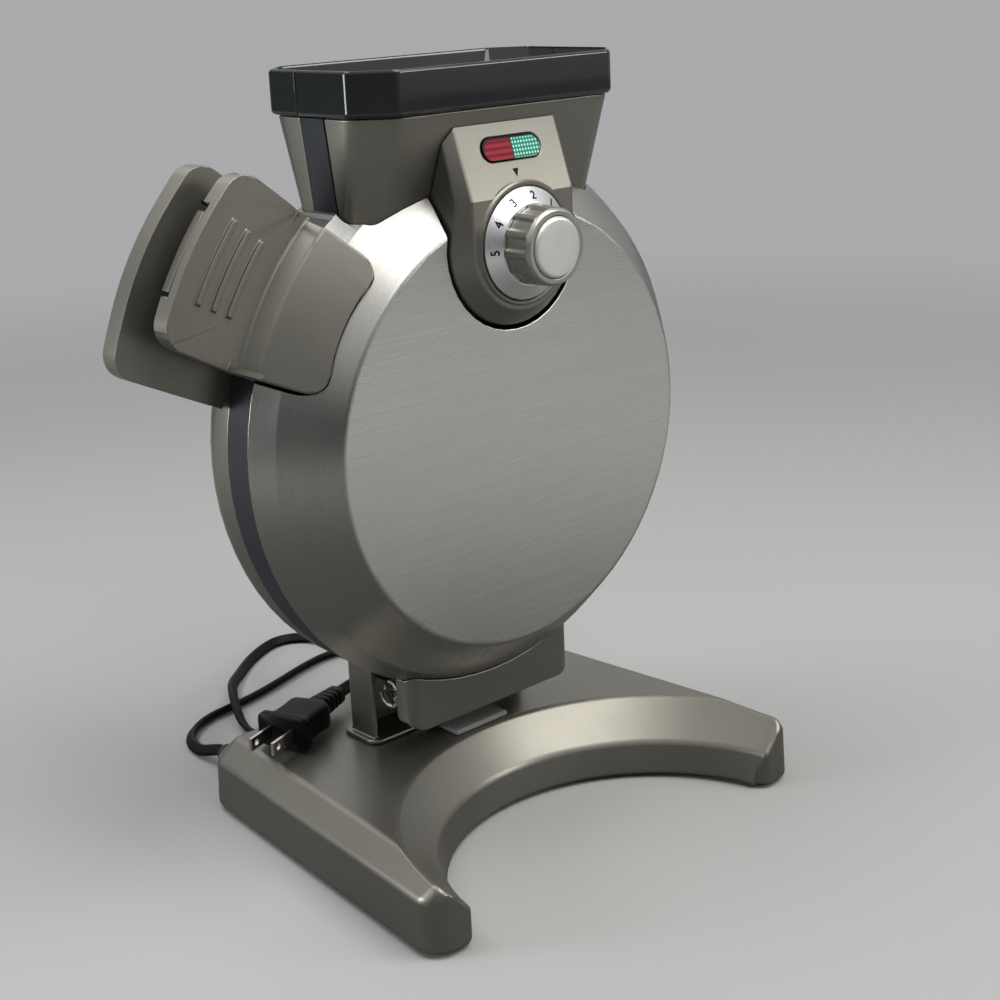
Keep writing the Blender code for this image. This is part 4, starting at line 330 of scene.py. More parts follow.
def taupePaint(s):
    # metallic taupe lacquer: fine flakes, a slight orange peel and a few duller patches
    material, tree, shader = nodeTree("taupePaint")
    coords = objectCoords(tree)
    flakes = ramp(tree, noise(tree, coords, s["flakeScale"], detail=1.0), 0, 1, *s["flakeSpan"])
    patches = noise(tree, coords, s["patchScale"], detail=3.0)
    tree.links.new(mixColour(tree, flakes, s["dark"], s["light"]), shader.inputs["Base Color"])
    shader.inputs["Metallic"].default_value = s["metal"]
    tree.links.new(ramp(tree, patches, *s["rough"], *noiseSpan), shader.inputs["Roughness"])
    bump(tree, shader, noise(tree, coords, s["grainScale"]), s["grainStrength"], s["grainDepth"])
    return material


steelSettings = {
    "dark": (0.560, 0.554, 0.528),
    "light": (0.650, 0.643, 0.614),
    # the cone's colours, about half as bright as the face's: painted shade for the darker
    # surroundings that it mirrors
    "shadedConeDark": (0.285, 0.280, 0.262),
    "shadedConeLight": (0.345, 0.340, 0.320),
    "coneSpan": (0.0990, 0.1012),
    "arcStretch": (4200, 6.0, 1),
    "rough": (0.25, 0.34),
    "roughLines": (-0.05, 0.07),
    "cloudScale": 11,
    "anisotropy": 0.45,
    "lineStretch": (9, 900, 2200),
    "fineStretch": (30, 3000, 5200),
    "lineStrength": 0.16,
    "lineDepth": 0.00005,
}


def ringCoords(tree, coords, centre):
    # distance from the disc's axis, and the angle round it
    flat = vectorMaths(tree, "MULTIPLY", vectorMaths(tree, "SUBTRACT", coords, centre), (1, 0, 1))
    split = parts(tree, flat)
    return vectorMaths(tree, "LENGTH", flat), maths(tree, "ARCTAN2", split["Z"], split["X"])


def brushedSteel(s):
    # lines run across the face, along X, and round the disc on the cone about it; the cone is
    # painted darker than the face, a painted shade
    material, tree, shader = nodeTree("brushedSteel")
    coords = objectCoords(tree)
    lines = noise(tree, coords, 1.0, detail=4.0, roughness=0.6, stretch=s["lineStretch"])
    fine = noise(tree, coords, 1.0, detail=3.0, roughness=0.6, stretch=s["fineStretch"])
    clouds = noise(tree, coords, s["cloudScale"])
    radius, angle = ringCoords(tree, coords, discCentre)
    ringPlace = tree.nodes.new("ShaderNodeCombineXYZ")
    wire(tree, ringPlace.inputs, (radius, angle))
    arcs = noise(tree, ringPlace.outputs[0], 1.0, detail=4.0, roughness=0.6,
                 stretch=s["arcStretch"])
    # the cone takes the darker colours: painted shade on the same steel
    onCone = ramp(tree, radius, 0, 1, *s["coneSpan"], smooth=True)
    face = mixColour(tree, ramp(tree, lines, 0, 1, *noiseSpan), s["dark"], s["light"])
    cone = mixColour(tree, ramp(tree, arcs, 0, 1, *noiseSpan), s["shadedConeDark"], s["shadedConeLight"])
    tree.links.new(mixColour(tree, onCone, face, cone), shader.inputs["Base Color"])
    shader.inputs["Metallic"].default_value = 1.0
    shader.inputs["Anisotropic"].default_value = s["anisotropy"]
    rough = maths(tree, "ADD", ramp(tree, fine, *s["roughLines"], *noiseSpan),
                  ramp(tree, clouds, *s["rough"], *noiseSpan))
    tree.links.new(rough, shader.inputs["Roughness"])
    bump(tree, shader, fine, s["lineStrength"], s["lineDepth"])
    return material


plainSettings = {
    "toneScale": 35,
    "smudgeScale": 60,
    "smoother": 0.85,  # the roughness where a surface is smoothest, and roughest, against its mean
    "rougher": 1.2,
    "smoothest": 0.02,
    "grainStrength": 0.3,
}


def plainFinish(name, colour, rough, metal=0.0, variation=0.12, grain=1200, depth=0.00003,
                specular=0.5):
    # a moulded or plated surface with slight changes of tone, roughness and grain
    s = plainSettings
    material, tree, shader = nodeTree(name)
    coords = objectCoords(tree)
    tone = ramp(tree, noise(tree, coords, s["toneScale"], detail=3.0), 0, 1, *noiseSpan)
    darker = tuple(c * (1 - variation) for c in colour)
    lighter = tuple(min(1, c * (1 + variation)) for c in colour)
    tree.links.new(mixColour(tree, tone, darker, lighter), shader.inputs["Base Color"])
    shader.inputs["Metallic"].default_value = metal
    smudge = noise(tree, coords, s["smudgeScale"], detail=4.0, roughness=0.6)
    low, high = max(s["smoothest"], rough * s["smoother"]), min(1, rough * s["rougher"])
    tree.links.new(ramp(tree, smudge, low, high, *noiseSpan), shader.inputs["Roughness"])
    shader.inputs["Specular IOR Level"].default_value = specular
    if depth:
        bump(tree, shader, noise(tree, coords, grain), s["grainStrength"], depth)
    return material


def waves(tree, value, pitch):
    # a smooth row of ribs, 0 to 1, along one coordinate
    sine = maths(tree, "SINE", maths(tree, "MULTIPLY", value, math.tau / pitch))
    return ramp(tree, sine, 0, 1, -1, 1)


lensLow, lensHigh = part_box("lamp_red")
glassLow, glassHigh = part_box("lamp_green")
windowLeft, windowRight = min(lensLow.x, glassLow.x), max(lensHigh.x, glassHigh.x)
lensSettings = {
    "middle": ((windowLeft + windowRight) / 2, (lensLow.z + lensHigh.z) / 2),
    "halfLength": (windowRight - windowLeft) / 2,
    "halfHeight": (lensHigh.z - lensLow.z) / 2,
    # width and colour of the painted shade round the lenses' recess
    "recessShadeWidth": 0.0008,
    "recessShadeColour": (0.006, 0.006, 0.006),
    "dotSpan": (0.22, 0.62),
    "rough": 0.45,
    "specular": 0.12,
    "coat": 0.04,
    "coatRough": 0.08,
    "reliefStrength": 0.3,
    "reliefDepth": 0.0002,
}


def edgeShade(tree, x, z, s):
    # 1 inside the window of both lenses, falling to 0 in a band of painted shade along its outline,
    # where the lenses sit in their recess
    pair = tree.nodes.new("ShaderNodeCombineXYZ")
    straight = s["halfLength"] - s["halfHeight"]
    for value, middle, flat, end in ((x, s["middle"][0], straight, 0), (z, s["middle"][1], 0, 1)):
        away = maths(tree, "ABSOLUTE", maths(tree, "SUBTRACT", value, middle))
        past = ramp(tree, away, 0, s["halfHeight"], flat, flat + s["halfHeight"])
        tree.links.new(past, pair.inputs[end])
    distance = vectorMaths(tree, "LENGTH", pair.outputs[0])
    outline = s["halfHeight"] - s["recessShadeWidth"]
    return ramp(tree, distance, 1, 0, outline - s["recessShadeWidth"] / 2, outline + s["recessShadeWidth"] / 4)


def lensFinish(name, colour, deep, pitch, dotted, s):
    # tinted lens over a moulded reflector: ribs, or rows of bright dots, ringed by painted shade
    material, tree, shader = nodeTree(name)
    place = parts(tree, objectCoords(tree))
    pattern = waves(tree, place["Z"], pitch)
    if dotted:
        product = maths(tree, "MULTIPLY", pattern, waves(tree, place["X"], pitch))
        pattern = ramp(tree, product, 0, 1, *s["dotSpan"], smooth=True)
    inside = edgeShade(tree, place["X"], place["Z"], s)
    tinted = mixColour(tree, pattern, deep, colour)
    tree.links.new(mixColour(tree, inside, s["recessShadeColour"], tinted), shader.inputs["Base Color"])
    shader.inputs["Roughness"].default_value = s["rough"]
    shader.inputs["Specular IOR Level"].default_value = s["specular"]
    shader.inputs["Coat Weight"].default_value = s["coat"]
    shader.inputs["Coat Roughness"].default_value = s["coatRough"]
    bump(tree, shader, pattern, s["reliefStrength"], s["reliefDepth"])
    return material


taupe = taupePaint(paintSettings)
steel = brushedSteel(steelSettings)
glossBlack = plainFinish("glossBlack", (0.015, 0.017, 0.018), 0.09, variation=0.1, depth=0)
darkBand = plainFinish("darkBand", (0.016, 0.019, 0.026), 0.42, depth=0.00004, specular=0.3)
plateCoat = plainFinish("plateCoat", (0.026, 0.026, 0.027), 0.48, variation=0.2, grain=1600,
                        depth=0.00008)
sheath = plainFinish("elementSheath", (0.22, 0.215, 0.20), 0.42, metal=1.0, variation=0.2)
dialSilver = plainFinish("dialSilver", (0.70, 0.705, 0.71), 0.26, metal=0.85, variation=0.05)
capSatin = plainFinish("capSatin", (0.60, 0.62, 0.575), 0.30, metal=0.65, variation=0.05)
gripGrey = plainFinish("gripGrey", (0.34, 0.335, 0.30), 0.30, metal=0.8, variation=0.1)
lensRed = lensFinish("lensRed", (0.30, 0.022, 0.040), (0.13, 0.004, 0.010), pitch=0.0027,
                     dotted=False, s=lensSettings)
lensGreen = lensFinish("lensGreen", (0.42, 0.86, 0.72), (0.030, 0.22, 0.165), pitch=0.0017,
                       dotted=True, s=lensSettings)
pinSteel = plainFinish("pinSteel", (0.58, 0.58, 0.57), 0.22, metal=1.0, variation=0.08)
springSteel = plainFinish("springSteel", (0.30, 0.30, 0.29), 0.28, metal=1.0, variation=0.08)
rubber = plainFinish("rubber", (0.014, 0.014, 0.015), 0.62, variation=0.2, grain=1500,
                     depth=0.00006, specular=0.3)
padGrey = plainFinish("padGrey", (0.22, 0.222, 0.21), 0.50, variation=0.06, grain=1500,
                      depth=0.00006)
cordBlack = plainFinish("cordBlack", (0.003, 0.003, 0.0034), 0.38, variation=0.2, grain=900,
                        depth=0.00004, specular=0.1)
nickel = plainFinish("nickel", (0.68, 0.655, 0.59), 0.20, metal=1.0, variation=0.08)
bakelite = plainFinish("bakelite", (0.22, 0.20, 0.17), 0.5, variation=0.15)
printBlack = plainFinish("printBlack", (0.015, 0.015, 0.015), 0.8, variation=0.1, depth=0,
                         specular=0.05)

finishes = {
    "base_shell": taupe, "base_tray": darkBand, "foot_front_left": rubber,
    "foot_front_right": rubber, "foot_rear_left": rubber, "foot_rear_right": rubber,
    "pedestal": taupe, "lid_rest_pad": padGrey, "hinge_pin_left": pinSteel,
    "hinge_pin_right": pinSteel, "hinge_spring_left": springSteel,
    "hinge_spring_right": springSteel, "rear_housing": taupe, "rear_frame": darkBand,
    "rear_plate": plateCoat, "rear_heating_element": sheath, "rear_spout": taupe,
    "rear_spout_rim": glossBlack, "rear_handle": taupe, "cord_gland": rubber,
    "cord": cordBlack, "plug_body": cordBlack, "plug_blade_left": nickel,
    "plug_blade_right": nickel, "front_cover": steel, "front_frame": darkBand,
    "front_plate": plateCoat, "front_heating_element": sheath, "front_spout": taupe,
    "front_spout_rim": glossBlack, "control_pod": taupe, "lamp_red": lensRed,
    "lamp_green": lensGreen, "thermostat": bakelite, "front_handle": taupe,
    "latch_pin": pinSteel, "lid_arm": taupe, "dial_ring": dialSilver, "knob": gripGrey,
    "knob_cap": capSatin, "dial_shaft": pinSteel, "handle_latch": taupe,
}
for node, finish in finishes.items():
    nodes[node].data.materials.clear()
    nodes[node].data.materials.append(finish)
print("finishes made:", len(set(finishes.values())))


def bodyOf(node):
    for body, members in frame["record"]["behaviour"]["bodies"].items():
        if node in members:
            return body


def finishShape(obj, angle):
    obj.data.shade_smooth()
    obj.data.set_sharp_from_angle(angle=math.radians(angle))


def finalMesh(obj):
    graph = bpy.context.evaluated_depsgraph_get()
    return bpy.data.meshes.new_from_object(obj.evaluated_get(graph))


def apply(obj):
    mesh = finalMesh(obj)
    obj.modifiers.clear()
    obj.data = mesh


def slopeAngle(direction, axis, radial):
    return math.atan2(direction.dot(radial), direction.dot(axis))


turnedSettings = {
    "axis": Vector((0, -1, 0)),
    "grid": 0.00008,  # points this close in radius and depth count as one ring
    "middle": 0.0002,  # radius inside which a point has no way outward
    "sharp": math.radians(30),
    "aside": 0.12,  # how far a facet may face round the axis and still belong to the turned form
}


def turnedNormals(obj, centre, s):
    # shades a turned piece's facets as the true round surface, cut-outs and flat sides left alone
    mesh, axis = obj.data, s["axis"]
    rings, slopes, keys = {}, [], []
    for vertex in mesh.vertices:
        arm = vertex.co - centre
        depth = arm.dot(axis)
        keys.append((round((arm - axis * depth).length / s["grid"]), round(depth / s["grid"])))
    for polygon in mesh.polygons:
        arm = polygon.center - centre
        radial = (arm - axis * arm.dot(axis)).normalized()
        aside = axis.cross(radial)
        if abs(polygon.normal.dot(aside)) > s["aside"]:
            slopes.append(None)
            continue
        slope = slopeAngle(polygon.normal, axis, radial)
        slopes.append(slope)
        for index in polygon.vertices:
            rings.setdefault(keys[index], []).append((slope, polygon.area))
    normals = [Vector(corner.vector) for corner in mesh.corner_normals]
    for polygon, slope in zip(mesh.polygons, slopes):
        if slope is None:
            continue
        for loop in polygon.loop_indices:
            index = mesh.loops[loop].vertex_index
            near = [(a, w) for a, w in rings[keys[index]] if abs(a - slope) < s["sharp"]]
            mean = sum(a * w for a, w in near) / sum(w for a, w in near)
            arm = mesh.vertices[index].co - centre
            radial = arm - axis * arm.dot(axis)
            if radial.length >= s["middle"]:
                normals[loop] = axis * math.cos(mean) + radial.normalized() * math.sin(mean)
    mesh.normals_split_custom_set(normals)


def flatNormals(obj, area):
    # shades every face larger than this as truly flat
    mesh = obj.data
    normals = [Vector(corner.vector) for corner in mesh.corner_normals]
    for polygon in mesh.polygons:
        if polygon.area > area:
            for loop in polygon.loop_indices:
                normals[loop] = polygon.normal.copy()
    mesh.normals_split_custom_set(normals)


rimSettings = {
    "nearTop": 0.001,
    "nearSeam": 0.0005,
    "footSpan": (0.333, 0.345),  # heights between which the rim's foot lies
    "level": 0.7,  # least share of a normal that points up or down on a level face
    "square": 0.95,  # and across the seam on the seam's face
    "upright": 0.3,  # most share that points up or down on a wall
    "outward": 0.12,  # and least share that points outward
}


def rimEdges(node, s):
    # says which edges of a spout rim are its outer ones: round the top, the foot and the seam
    low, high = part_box(node)
    centre = (low + high) / 2
    seam = high.y if node.startswith("front") else low.y

    def kind(face, middle):
        normal, out = face.normal, middle - centre
        out.z = 0
        if normal.z > s["level"] and middle.z > high.z - s["nearTop"]:
            return "top"
        if normal.z < -s["level"] and s["footSpan"][0] < middle.z < s["footSpan"][1]:
            return "foot"
        if abs(normal.y) > s["square"] and abs(middle.y - seam) < s["nearSeam"]:
            return "seam"
        if abs(normal.z) < s["upright"] and normal.dot(out) > out.length * s["outward"]:
            return "wall"

    def outer(edge):
        middle = (edge.verts[0].co + edge.verts[1].co) / 2
        pair = {kind(face, middle) for face in edge.link_faces}
        return pair in ({"top", "wall"}, {"foot", "wall"}, {"seam", "wall"}, {"top", "seam"})

    return outer


def weighEdges(bm, width, angle, chosen, straight=0.85, share=0.45):
    # marks the edges to round, each less where its neighbours leave it little room: a rounding
    # takes up to this share of an edge beside it, and edges that run straight on don't limit it
    layer = bm.edges.layers.float.new("bevel_weight_edge")
    for edge in bm.edges:
        if len(edge.link_faces) != 2 or edge.calc_face_angle(0) < math.radians(angle):
            continue
        if chosen and not chosen(edge):
            continue
        room = width / share
        for vertex in edge.verts:
            along = (edge.other_vert(vertex).co - vertex.co).normalized()
            for other in vertex.link_edges:
                reach = other.other_vert(vertex).co - vertex.co
                if abs(reach.normalized().dot(along)) < straight:
                    room = min(room, reach.length)
        edge[layer] = min(1, share * room / width)


flatAngle = 1.2  # degrees between facets that still count as one flat face
faceShare = 80  # how much more large faces count than small ones in the shading


def softEdges(node, name, width, segments=3, angle=30, smooth=40, join=0.000002, chosen=None):
    # the solid's own form with its flat faces joined up and its edges rounded
    bm = bmesh.new()
    bm.from_mesh(nodes[node].data)
    bmesh.ops.remove_doubles(bm, verts=bm.verts, dist=join)
    bmesh.ops.dissolve_limit(bm, angle_limit=math.radians(flatAngle), verts=bm.verts,
                             edges=bm.edges)
    weighEdges(bm, width, angle, chosen)
    piece = addObject(name, meshFrom(bm, name), finishes[node])
    edge = piece.modifiers.new("edge", "BEVEL")
    edge.width = width
    edge.segments = segments
    edge.limit_method = "WEIGHT"
    edge.use_clamp_overlap = False
    apply(piece)
    finishShape(piece, smooth)
    weighted = piece.modifiers.new("weighted", "WEIGHTED_NORMAL")
    weighted.keep_sharp = True
    weighted.weight = faceShare
    apply(piece)
    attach(piece, bodyOf(node))
    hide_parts(node)
    return piece


softened = {
    # node: edge radius in metres, steps, smallest angle that counts as an edge, widest angle shaded
    # smooth, and how close points are joined
    "base_shell": (0.0022, 4),
    "pedestal": (0.0008, 2),
    "lid_arm": (0.0010, 3),
    "front_handle": (0.0010, 7, 30, 14),
    "rear_handle": (0.0006, 4, 30, 26, 0.0002),
    "control_pod": (0.0009, 3, 14),
    "front_spout": (0.0008, 3),
    "rear_spout": (0.0008, 3),
    "front_spout_rim": (0.0022, 5, 55),
    "rear_spout_rim": (0.0022, 5, 55),
    "front_frame": (0.0005, 2),
    "front_cover": (0.0004, 2),
    "rear_housing": (0.0004, 2),
    "dial_ring": (0.0003, 2),
    "knob_cap": (0.0003, 2),
    "handle_latch": (0.0005, 2),
    "knob": (0.0005, 2),
}
turned = {
    "front_frame": discCentre, "front_cover": discCentre, "rear_housing": discCentre,
    "dial_ring": dialCentre, "knob_cap": dialCentre,
}
gripFlat = 0.0004  # square metres from which a face of a grip is shaded flat
for node, settings in softened.items():
    outer = rimEdges(node, rimSettings) if node.endswith("rim") else None
    piece = softEdges(node, node + "_soft", *settings, chosen=outer)
    if node in turned:
        turnedNormals(piece, turned[node], turnedSettings)
    if node.endswith("handle"):
        flatNormals(piece, gripFlat)
print("edges softened on", len(softened), "pieces")


dialNumbers = {
    "size": 0.0055,
    "bold": 0.00010,
    "radius": 0.0209,
    "thickness": 0.00004,
    "lift": 0.00012,
    "angles": {"1": 38.5, "2": 6.5, "3": -26.5, "4": -60.0, "5": -93.5},  # clockwise from the top
    "coneOuter": (0.0246, 0.0011),  # radius and height of the ring's slope, outside and inside
    "coneInner": (0.0180, 0.0055),
}


def makeNumbers(s):
    # bare numbers printed on the ring's slope, their tops outward
    (outerRadius, outerRise), (innerRadius, innerRise) = s["coneOuter"], s["coneInner"]
    slope = (innerRise - outerRise) / (outerRadius - innerRadius)
    flatten = 1 / math.hypot(1, slope)
    for word, angle in s["angles"].items():
        curve = bpy.data.curves.new("dialNumber" + word, "FONT")
        curve.body = word
        curve.size = s["size"]
        curve.extrude = s["thickness"]
        curve.align_x = "CENTER"
        curve.align_y = "CENTER"
        text = addObject("dialNumber" + word, curve)
        bpy.context.view_layer.update()
        plain = finalMesh(text)
        bpy.data.objects.remove(text)
        a = math.radians(angle)
        corners, sides = [], []
        for shiftX, shiftY in ((-1, 0), (1, 0), (0, -1), (0, 1)):
            first = len(corners)
            for vertex in plain.vertices:
                across = vertex.co.x + shiftX * s["bold"]
                radius = s["radius"] + (vertex.co.y + shiftY * s["bold"]) * flatten
                rise = outerRise + (outerRadius - radius) * slope + vertex.co.z + s["lift"]
                x = radius * math.sin(a) + across * math.cos(a)
                z = radius * math.cos(a) - across * math.sin(a)
                corners.append(dialCentre + Vector((x, -rise, z)))
            sides += [[first + i for i in polygon.vertices] for polygon in plain.polygons]
        mesh = bpy.data.meshes.new("dialNumber" + word)
        mesh.from_pydata(corners, [], sides)
        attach(addObject("dial_number_" + word, mesh, printBlack), "dial")


def joinRings(bm, low, high):
    # a band of faces between two closed rings of points
    for k in range(len(low)):
        n = (k + 1) % len(low)
        bm.faces.new((low[k], low[n], high[n], high[k]))


pointerSettings = {
    "middle": -0.0008,
    "tipHeight": 0.3108,
    "topHeight": 0.3144,
    "halfWidth": 0.0017,
    "creaseHeight": 0.3033,  # where the pod's sloped face starts, and its depth there and higher up
    "creaseDepth": 0.0395,
    "slope": 0.3409,
    "proud": 0.00006,
}


def makePointer(s):
    # the printed mark above the dial
    bm = bmesh.new()
    corners = ((s["middle"] - s["halfWidth"], s["topHeight"]), (s["middle"], s["tipHeight"]),
               (s["middle"] + s["halfWidth"], s["topHeight"]))
    rows = []
    for proud in (0, s["proud"]):
        row = []
        for x, z in corners:
            depth = s["creaseDepth"] - (z - s["creaseHeight"]) * s["slope"] + proud
            row.append(bm.verts.new(Vector((x, -depth, z)) + home))
        rows.append(row)
    bm.faces.new(rows[0])
    bm.faces.new(rows[1][::-1])
    joinRings(bm, *rows)
    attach(addObject("dial_pointer", meshFrom(bm, "dial_pointer", True), printBlack), "lid")


lipSettings = {
    # radius and height in front of the pod's face
    "profile": ((0.0252, 0.0), (0.0252, 0.0005), (0.0256, 0.0009), (0.0266, 0.0009), (0.0274, 0.0)),
    "steps": 120,
    "sharp": 30,
}


def makeLip(s):
    # the low raised ring on the pod, round the dial
    bm = bmesh.new()
    rows = []
    for i in range(s["steps"]):
        a = math.tau * i / s["steps"]
        rows.append([bm.verts.new(dialCentre + Vector((r * math.cos(a), -rise, r * math.sin(a))))
                     for r, rise in s["profile"]])
    for i in range(s["steps"]):
        joinRings(bm, rows[i], rows[(i + 1) % s["steps"]])
    lip = addObject("dial_lip", meshFrom(bm, "dial_lip", True), taupe)
    finishShape(lip, s["sharp"])
    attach(lip, "lid")


makeLip(lipSettings)
makeNumbers(dialNumbers)
makePointer(pointerSettings)
print("dial numbers and pointer made")


cordSettings = {
    "width": 0.0064,
    "step": 0.006,
    "sides": 10,
    # against a wire's radius: its reach, how far apart the two lie and how deep the groove is
    "reach": 1.02,
    "spacing": 0.97,
    "groove": 0.66,
    "grooveAngle": 14,
    "sharp": 60,
    "easeSteps": 10,
    "route": (
        (-0.0765, 0.1232, 0.0100), (-0.0765, 0.1290, 0.0100), (-0.0768, 0.1375, 0.0072),
        (-0.0770, 0.1480, 0.0040), (-0.0745, 0.1600, 0.0035), (-0.0680, 0.1700, 0.0035),
        (-0.0590, 0.1770, 0.0035), (-0.0485, 0.1812, 0.0035), (-0.0375, 0.1830, 0.0035),
        (-0.0250, 0.1846, 0.0035), (-0.0100, 0.1878, 0.0035), (0.0075, 0.1930, 0.0035),
        (0.0270, 0.1992, 0.0035), (0.0450, 0.2030, 0.0035), (0.0600, 0.2020, 0.0035),
        (0.0780, 0.1960, 0.0035), (0.0960, 0.1880, 0.0035), (0.1120, 0.1800, 0.0035),
        (0.1240, 0.1690, 0.0035), (0.1300, 0.1540, 0.0035), (0.1270, 0.1380, 0.0035),
        (0.1150, 0.1270, 0.0035), (0.0990, 0.1260, 0.0035), (0.0850, 0.1340, 0.0035),
        (0.0765, 0.1480, 0.0035), (0.0725, 0.1640, 0.0040), (0.0700, 0.1800, 0.0078),
        (0.0680, 0.1970, 0.0108), (0.0655, 0.2130, 0.0078), (0.0610, 0.2290, 0.0042),
        (0.0530, 0.2405, 0.0035), (0.0420, 0.2442, 0.0035), (0.0300, 0.2410, 0.0035),
        (0.0130, 0.2315, 0.0035), (-0.0030, 0.2185, 0.0040), (-0.0180, 0.2030, 0.0072),
        (-0.0290, 0.1870, 0.0106), (-0.0372, 0.1720, 0.0092), (-0.0425, 0.1585, 0.0052),
        (-0.0440, 0.1470, 0.0036), (-0.0415, 0.1345, 0.0035), (-0.0335, 0.1235, 0.0035),
        (-0.0210, 0.1165, 0.0035), (-0.0060, 0.1150, 0.0035), (0.0090, 0.1168, 0.0035),
        (0.0230, 0.1215, 0.0044), (0.0370, 0.1245, 0.0086), (0.0500, 0.1225, 0.0172),
        (0.0610, 0.1150, 0.0285), (0.0675, 0.1040, 0.0372), (0.0690, 0.0920, 0.0412),
        (0.0650, 0.0805, 0.0408), (0.0560, 0.0725, 0.0405), (0.0430, 0.0690, 0.0405),
        (0.0280, 0.0700, 0.0405), (0.0130, 0.0730, 0.0407), (-0.0010, 0.0775, 0.0426),
        (-0.0125, 0.0793, 0.0450), (-0.0235, 0.0775, 0.0463), (-0.0327, 0.0746, 0.0465),
        (-0.0378, 0.0727, 0.0465),
    ),
    "roll": 48,  # degrees that the flat lead is turned on its side
    "drop": 0.0005,
}


def smoothRoute(points, step, pieces=12):
    # a Catmull-Rom curve through the points, in straight pieces, then cut into equal steps
    places = [Vector(p) + home for p in points]
    padded = [places[0] * 2 - places[1]] + places + [places[-1] * 2 - places[-2]]
    dense = []
    for a, b, c, d in zip(padded, padded[1:], padded[2:], padded[3:]):
        for i in range(pieces):
            t = i / pieces
            dense.append(0.5 * ((2 * b) + (c - a) * t + (2 * a - 5 * b + 4 * c - d) * t ** 2
                                + (3 * b - a - 3 * c + d) * t ** 3))
    dense.append(places[-1])
    lengths = [0]
    for first, second in zip(dense, dense[1:]):
        lengths.append(lengths[-1] + (second - first).length)
    count = round(lengths[-1] / step)
    path, at = [], 0
    for i in range(count + 1):
        wanted = lengths[-1] * i / count
        while at < len(lengths) - 2 and lengths[at + 1] < wanted:
            at += 1
        share = (wanted - lengths[at]) / (lengths[at + 1] - lengths[at])
        path.append(dense[at].lerp(dense[at + 1], share))
    return path, lengths[-1]


def sweep(name, path, section, finish, roll, sharp):
    # carries a section along a path, turned by the roll, with closed ends
    turnX, turnZ = math.cos(math.radians(roll)), math.sin(math.radians(roll))
    section = [(x * turnX - z * turnZ, x * turnZ + z * turnX) for x, z in section]
    bm = bmesh.new()
    rows = []
    for i, place in enumerate(path):
        ahead = (path[min(i + 1, len(path) - 1)] - path[max(i - 1, 0)]).normalized()
        across = ahead.cross(Vector((0, 0, 1))).normalized()
        upward = across.cross(ahead)
        rows.append([bm.verts.new(place + across * x + upward * z) for x, z in section])
    n = len(section)
    for low, high in zip(rows, rows[1:]):
        for k in range(n):
            bm.faces.new((low[k], high[k], high[(k + 1) % n], low[(k + 1) % n]))
    bm.faces.new(rows[0])
    bm.faces.new(rows[-1][::-1])
    obj = addObject(name, meshFrom(bm, name, True), finish)
    finishShape(obj, sharp)
    return obj


def twinSection(s):
    # two wires side by side with a groove between them
    r = s["width"] / 4
    reach = r * s["reach"]
    half = math.pi / 2 - math.radians(s["grooveAngle"])
    points = []
    for i in range(s["sides"] + 1):
        a = half * (2 * i / s["sides"] - 1)
        points.append((r * s["spacing"] + reach * math.cos(a), reach * math.sin(a)))
    points.append((0, r * s["groove"]))
    left = [(-x, -z) for x, z in points]
    return points + left


plugSettings = {
    "place": (-0.0850, 0.0555, 0.0465),
    "heading": 20,
    # along the axis, half width, half height, corner radius
    "stations": (
        (0.0002, 0.0139, 0.0082, 0.0034), (0.0008, 0.0144, 0.0087, 0.0038),
        (0.0038, 0.0144, 0.0087, 0.0038), (0.0046, 0.0138, 0.0082, 0.0036),
        (0.0056, 0.0117, 0.0071, 0.0030), (0.0100, 0.0112, 0.0068, 0.0030),
        (0.0170, 0.0111, 0.0068, 0.0030), (0.0235, 0.0115, 0.0070, 0.0030),
        (0.0258, 0.0112, 0.0068, 0.0032), (0.0285, 0.0080, 0.0058, 0.0028),
        (0.0297, 0.0062, 0.0051, 0.0024),
    ),
    # start, end, half width at each, half height at each
    "boot": (0.0300, 0.0498, 0.0061, 0.0046, 0.0051, 0.0041),
    "ribs": 5,
    # along one rib and its groove, and 1 where the groove is
    "ribRows": ((0.02, 0), (0.50, 0), (0.60, 1), (0.88, 1), (0.98, 0)),
    "grooveDepth": 0.0009,
    "bootCorner": 0.6,  # corner radius against the smaller half of the boot
    "cornerSteps": 4,
    "sharp": 50,
}


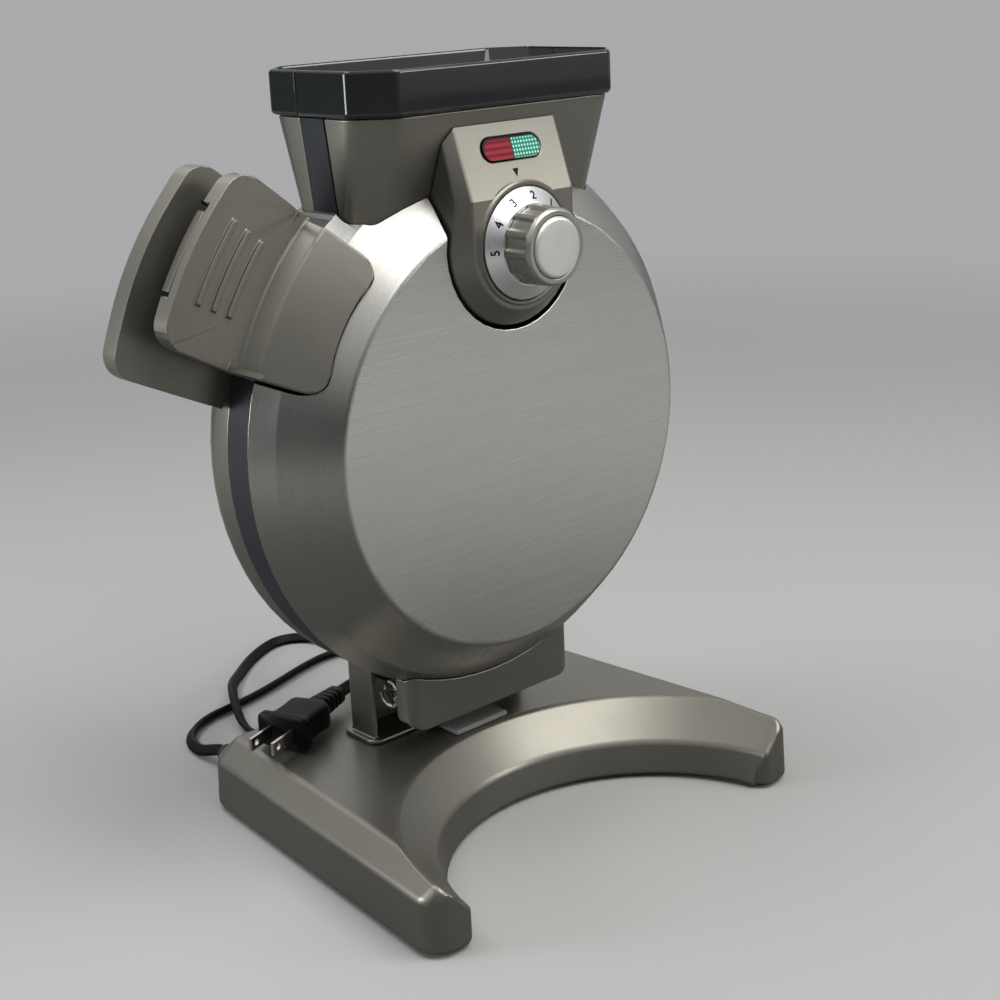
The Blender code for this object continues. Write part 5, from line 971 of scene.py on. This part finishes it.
def roundedRing(halfWidth, halfHeight, radius, steps):
    points = []
    for x, y, start in ((1, 1, 0), (-1, 1, 90), (-1, -1, 180), (1, -1, 270)):
        for i in range(steps + 1):
            a = math.radians(start + 90 * i / steps)
            points.append((x * (halfWidth - radius) + radius * math.cos(a),
                           y * (halfHeight - radius) + radius * math.sin(a)))
    return points


def plugStations(s):
    # the moulding, then a boot with grooves round it
    rows = list(s["stations"])
    start, end, wide, narrow, tall, low = s["boot"]
    pitch = (end - start) / s["ribs"]
    for i in range(s["ribs"]):
        for share, groove in s["ribRows"]:
            x = start + pitch * (i + share)
            t = (x - start) / (end - start)
            cut = groove * s["grooveDepth"] if i < s["ribs"] - 1 else 0
            halfWidth = wide + (narrow - wide) * t - cut
            halfHeight = tall + (low - tall) * t - cut
            rows.append((x, halfWidth, halfHeight, min(halfHeight, halfWidth) * s["bootCorner"]))
    return rows


def makePlug(s):
    heading = math.radians(s["heading"])
    ahead = Vector((math.cos(heading), math.sin(heading), 0))
    aside = Vector((-math.sin(heading), math.cos(heading), 0))
    place = Vector(s["place"]) + home
    bm = bmesh.new()
    rows = []
    for x, halfWidth, halfHeight, radius in plugStations(s):
        ring = roundedRing(halfWidth, halfHeight, radius, s["cornerSteps"])
        rows.append([bm.verts.new(place + ahead * x + aside * y + Vector((0, 0, z)))
                     for y, z in ring])
    for low, high in zip(rows, rows[1:]):
        joinRings(bm, low, high)
    bm.faces.new(rows[0][::-1])
    bm.faces.new(rows[-1])
    plug = addObject("plug_moulding", meshFrom(bm, "plug_moulding", True), cordBlack)
    finishShape(plug, s["sharp"])
    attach(plug, "stand")
    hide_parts("plug_body")


makePlug(plugSettings)
print("plug made")


def makeCord(s):
    path, length = smoothRoute(s["route"], s["step"])
    last = len(path) - 1
    lowered = []
    for i, place in enumerate(path):
        share = min(1, i / s["easeSteps"], (last - i) / s["easeSteps"])
        lowered.append(place - Vector((0, 0, s["drop"] * share)))
    cord = sweep("power_cord_twin", lowered, twinSection(s), cordBlack, s["roll"], s["sharp"])
    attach(cord, "stand")
    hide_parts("cord")
    print("cord", round(length, 3), "m")


makeCord(cordSettings)
print("cord made")
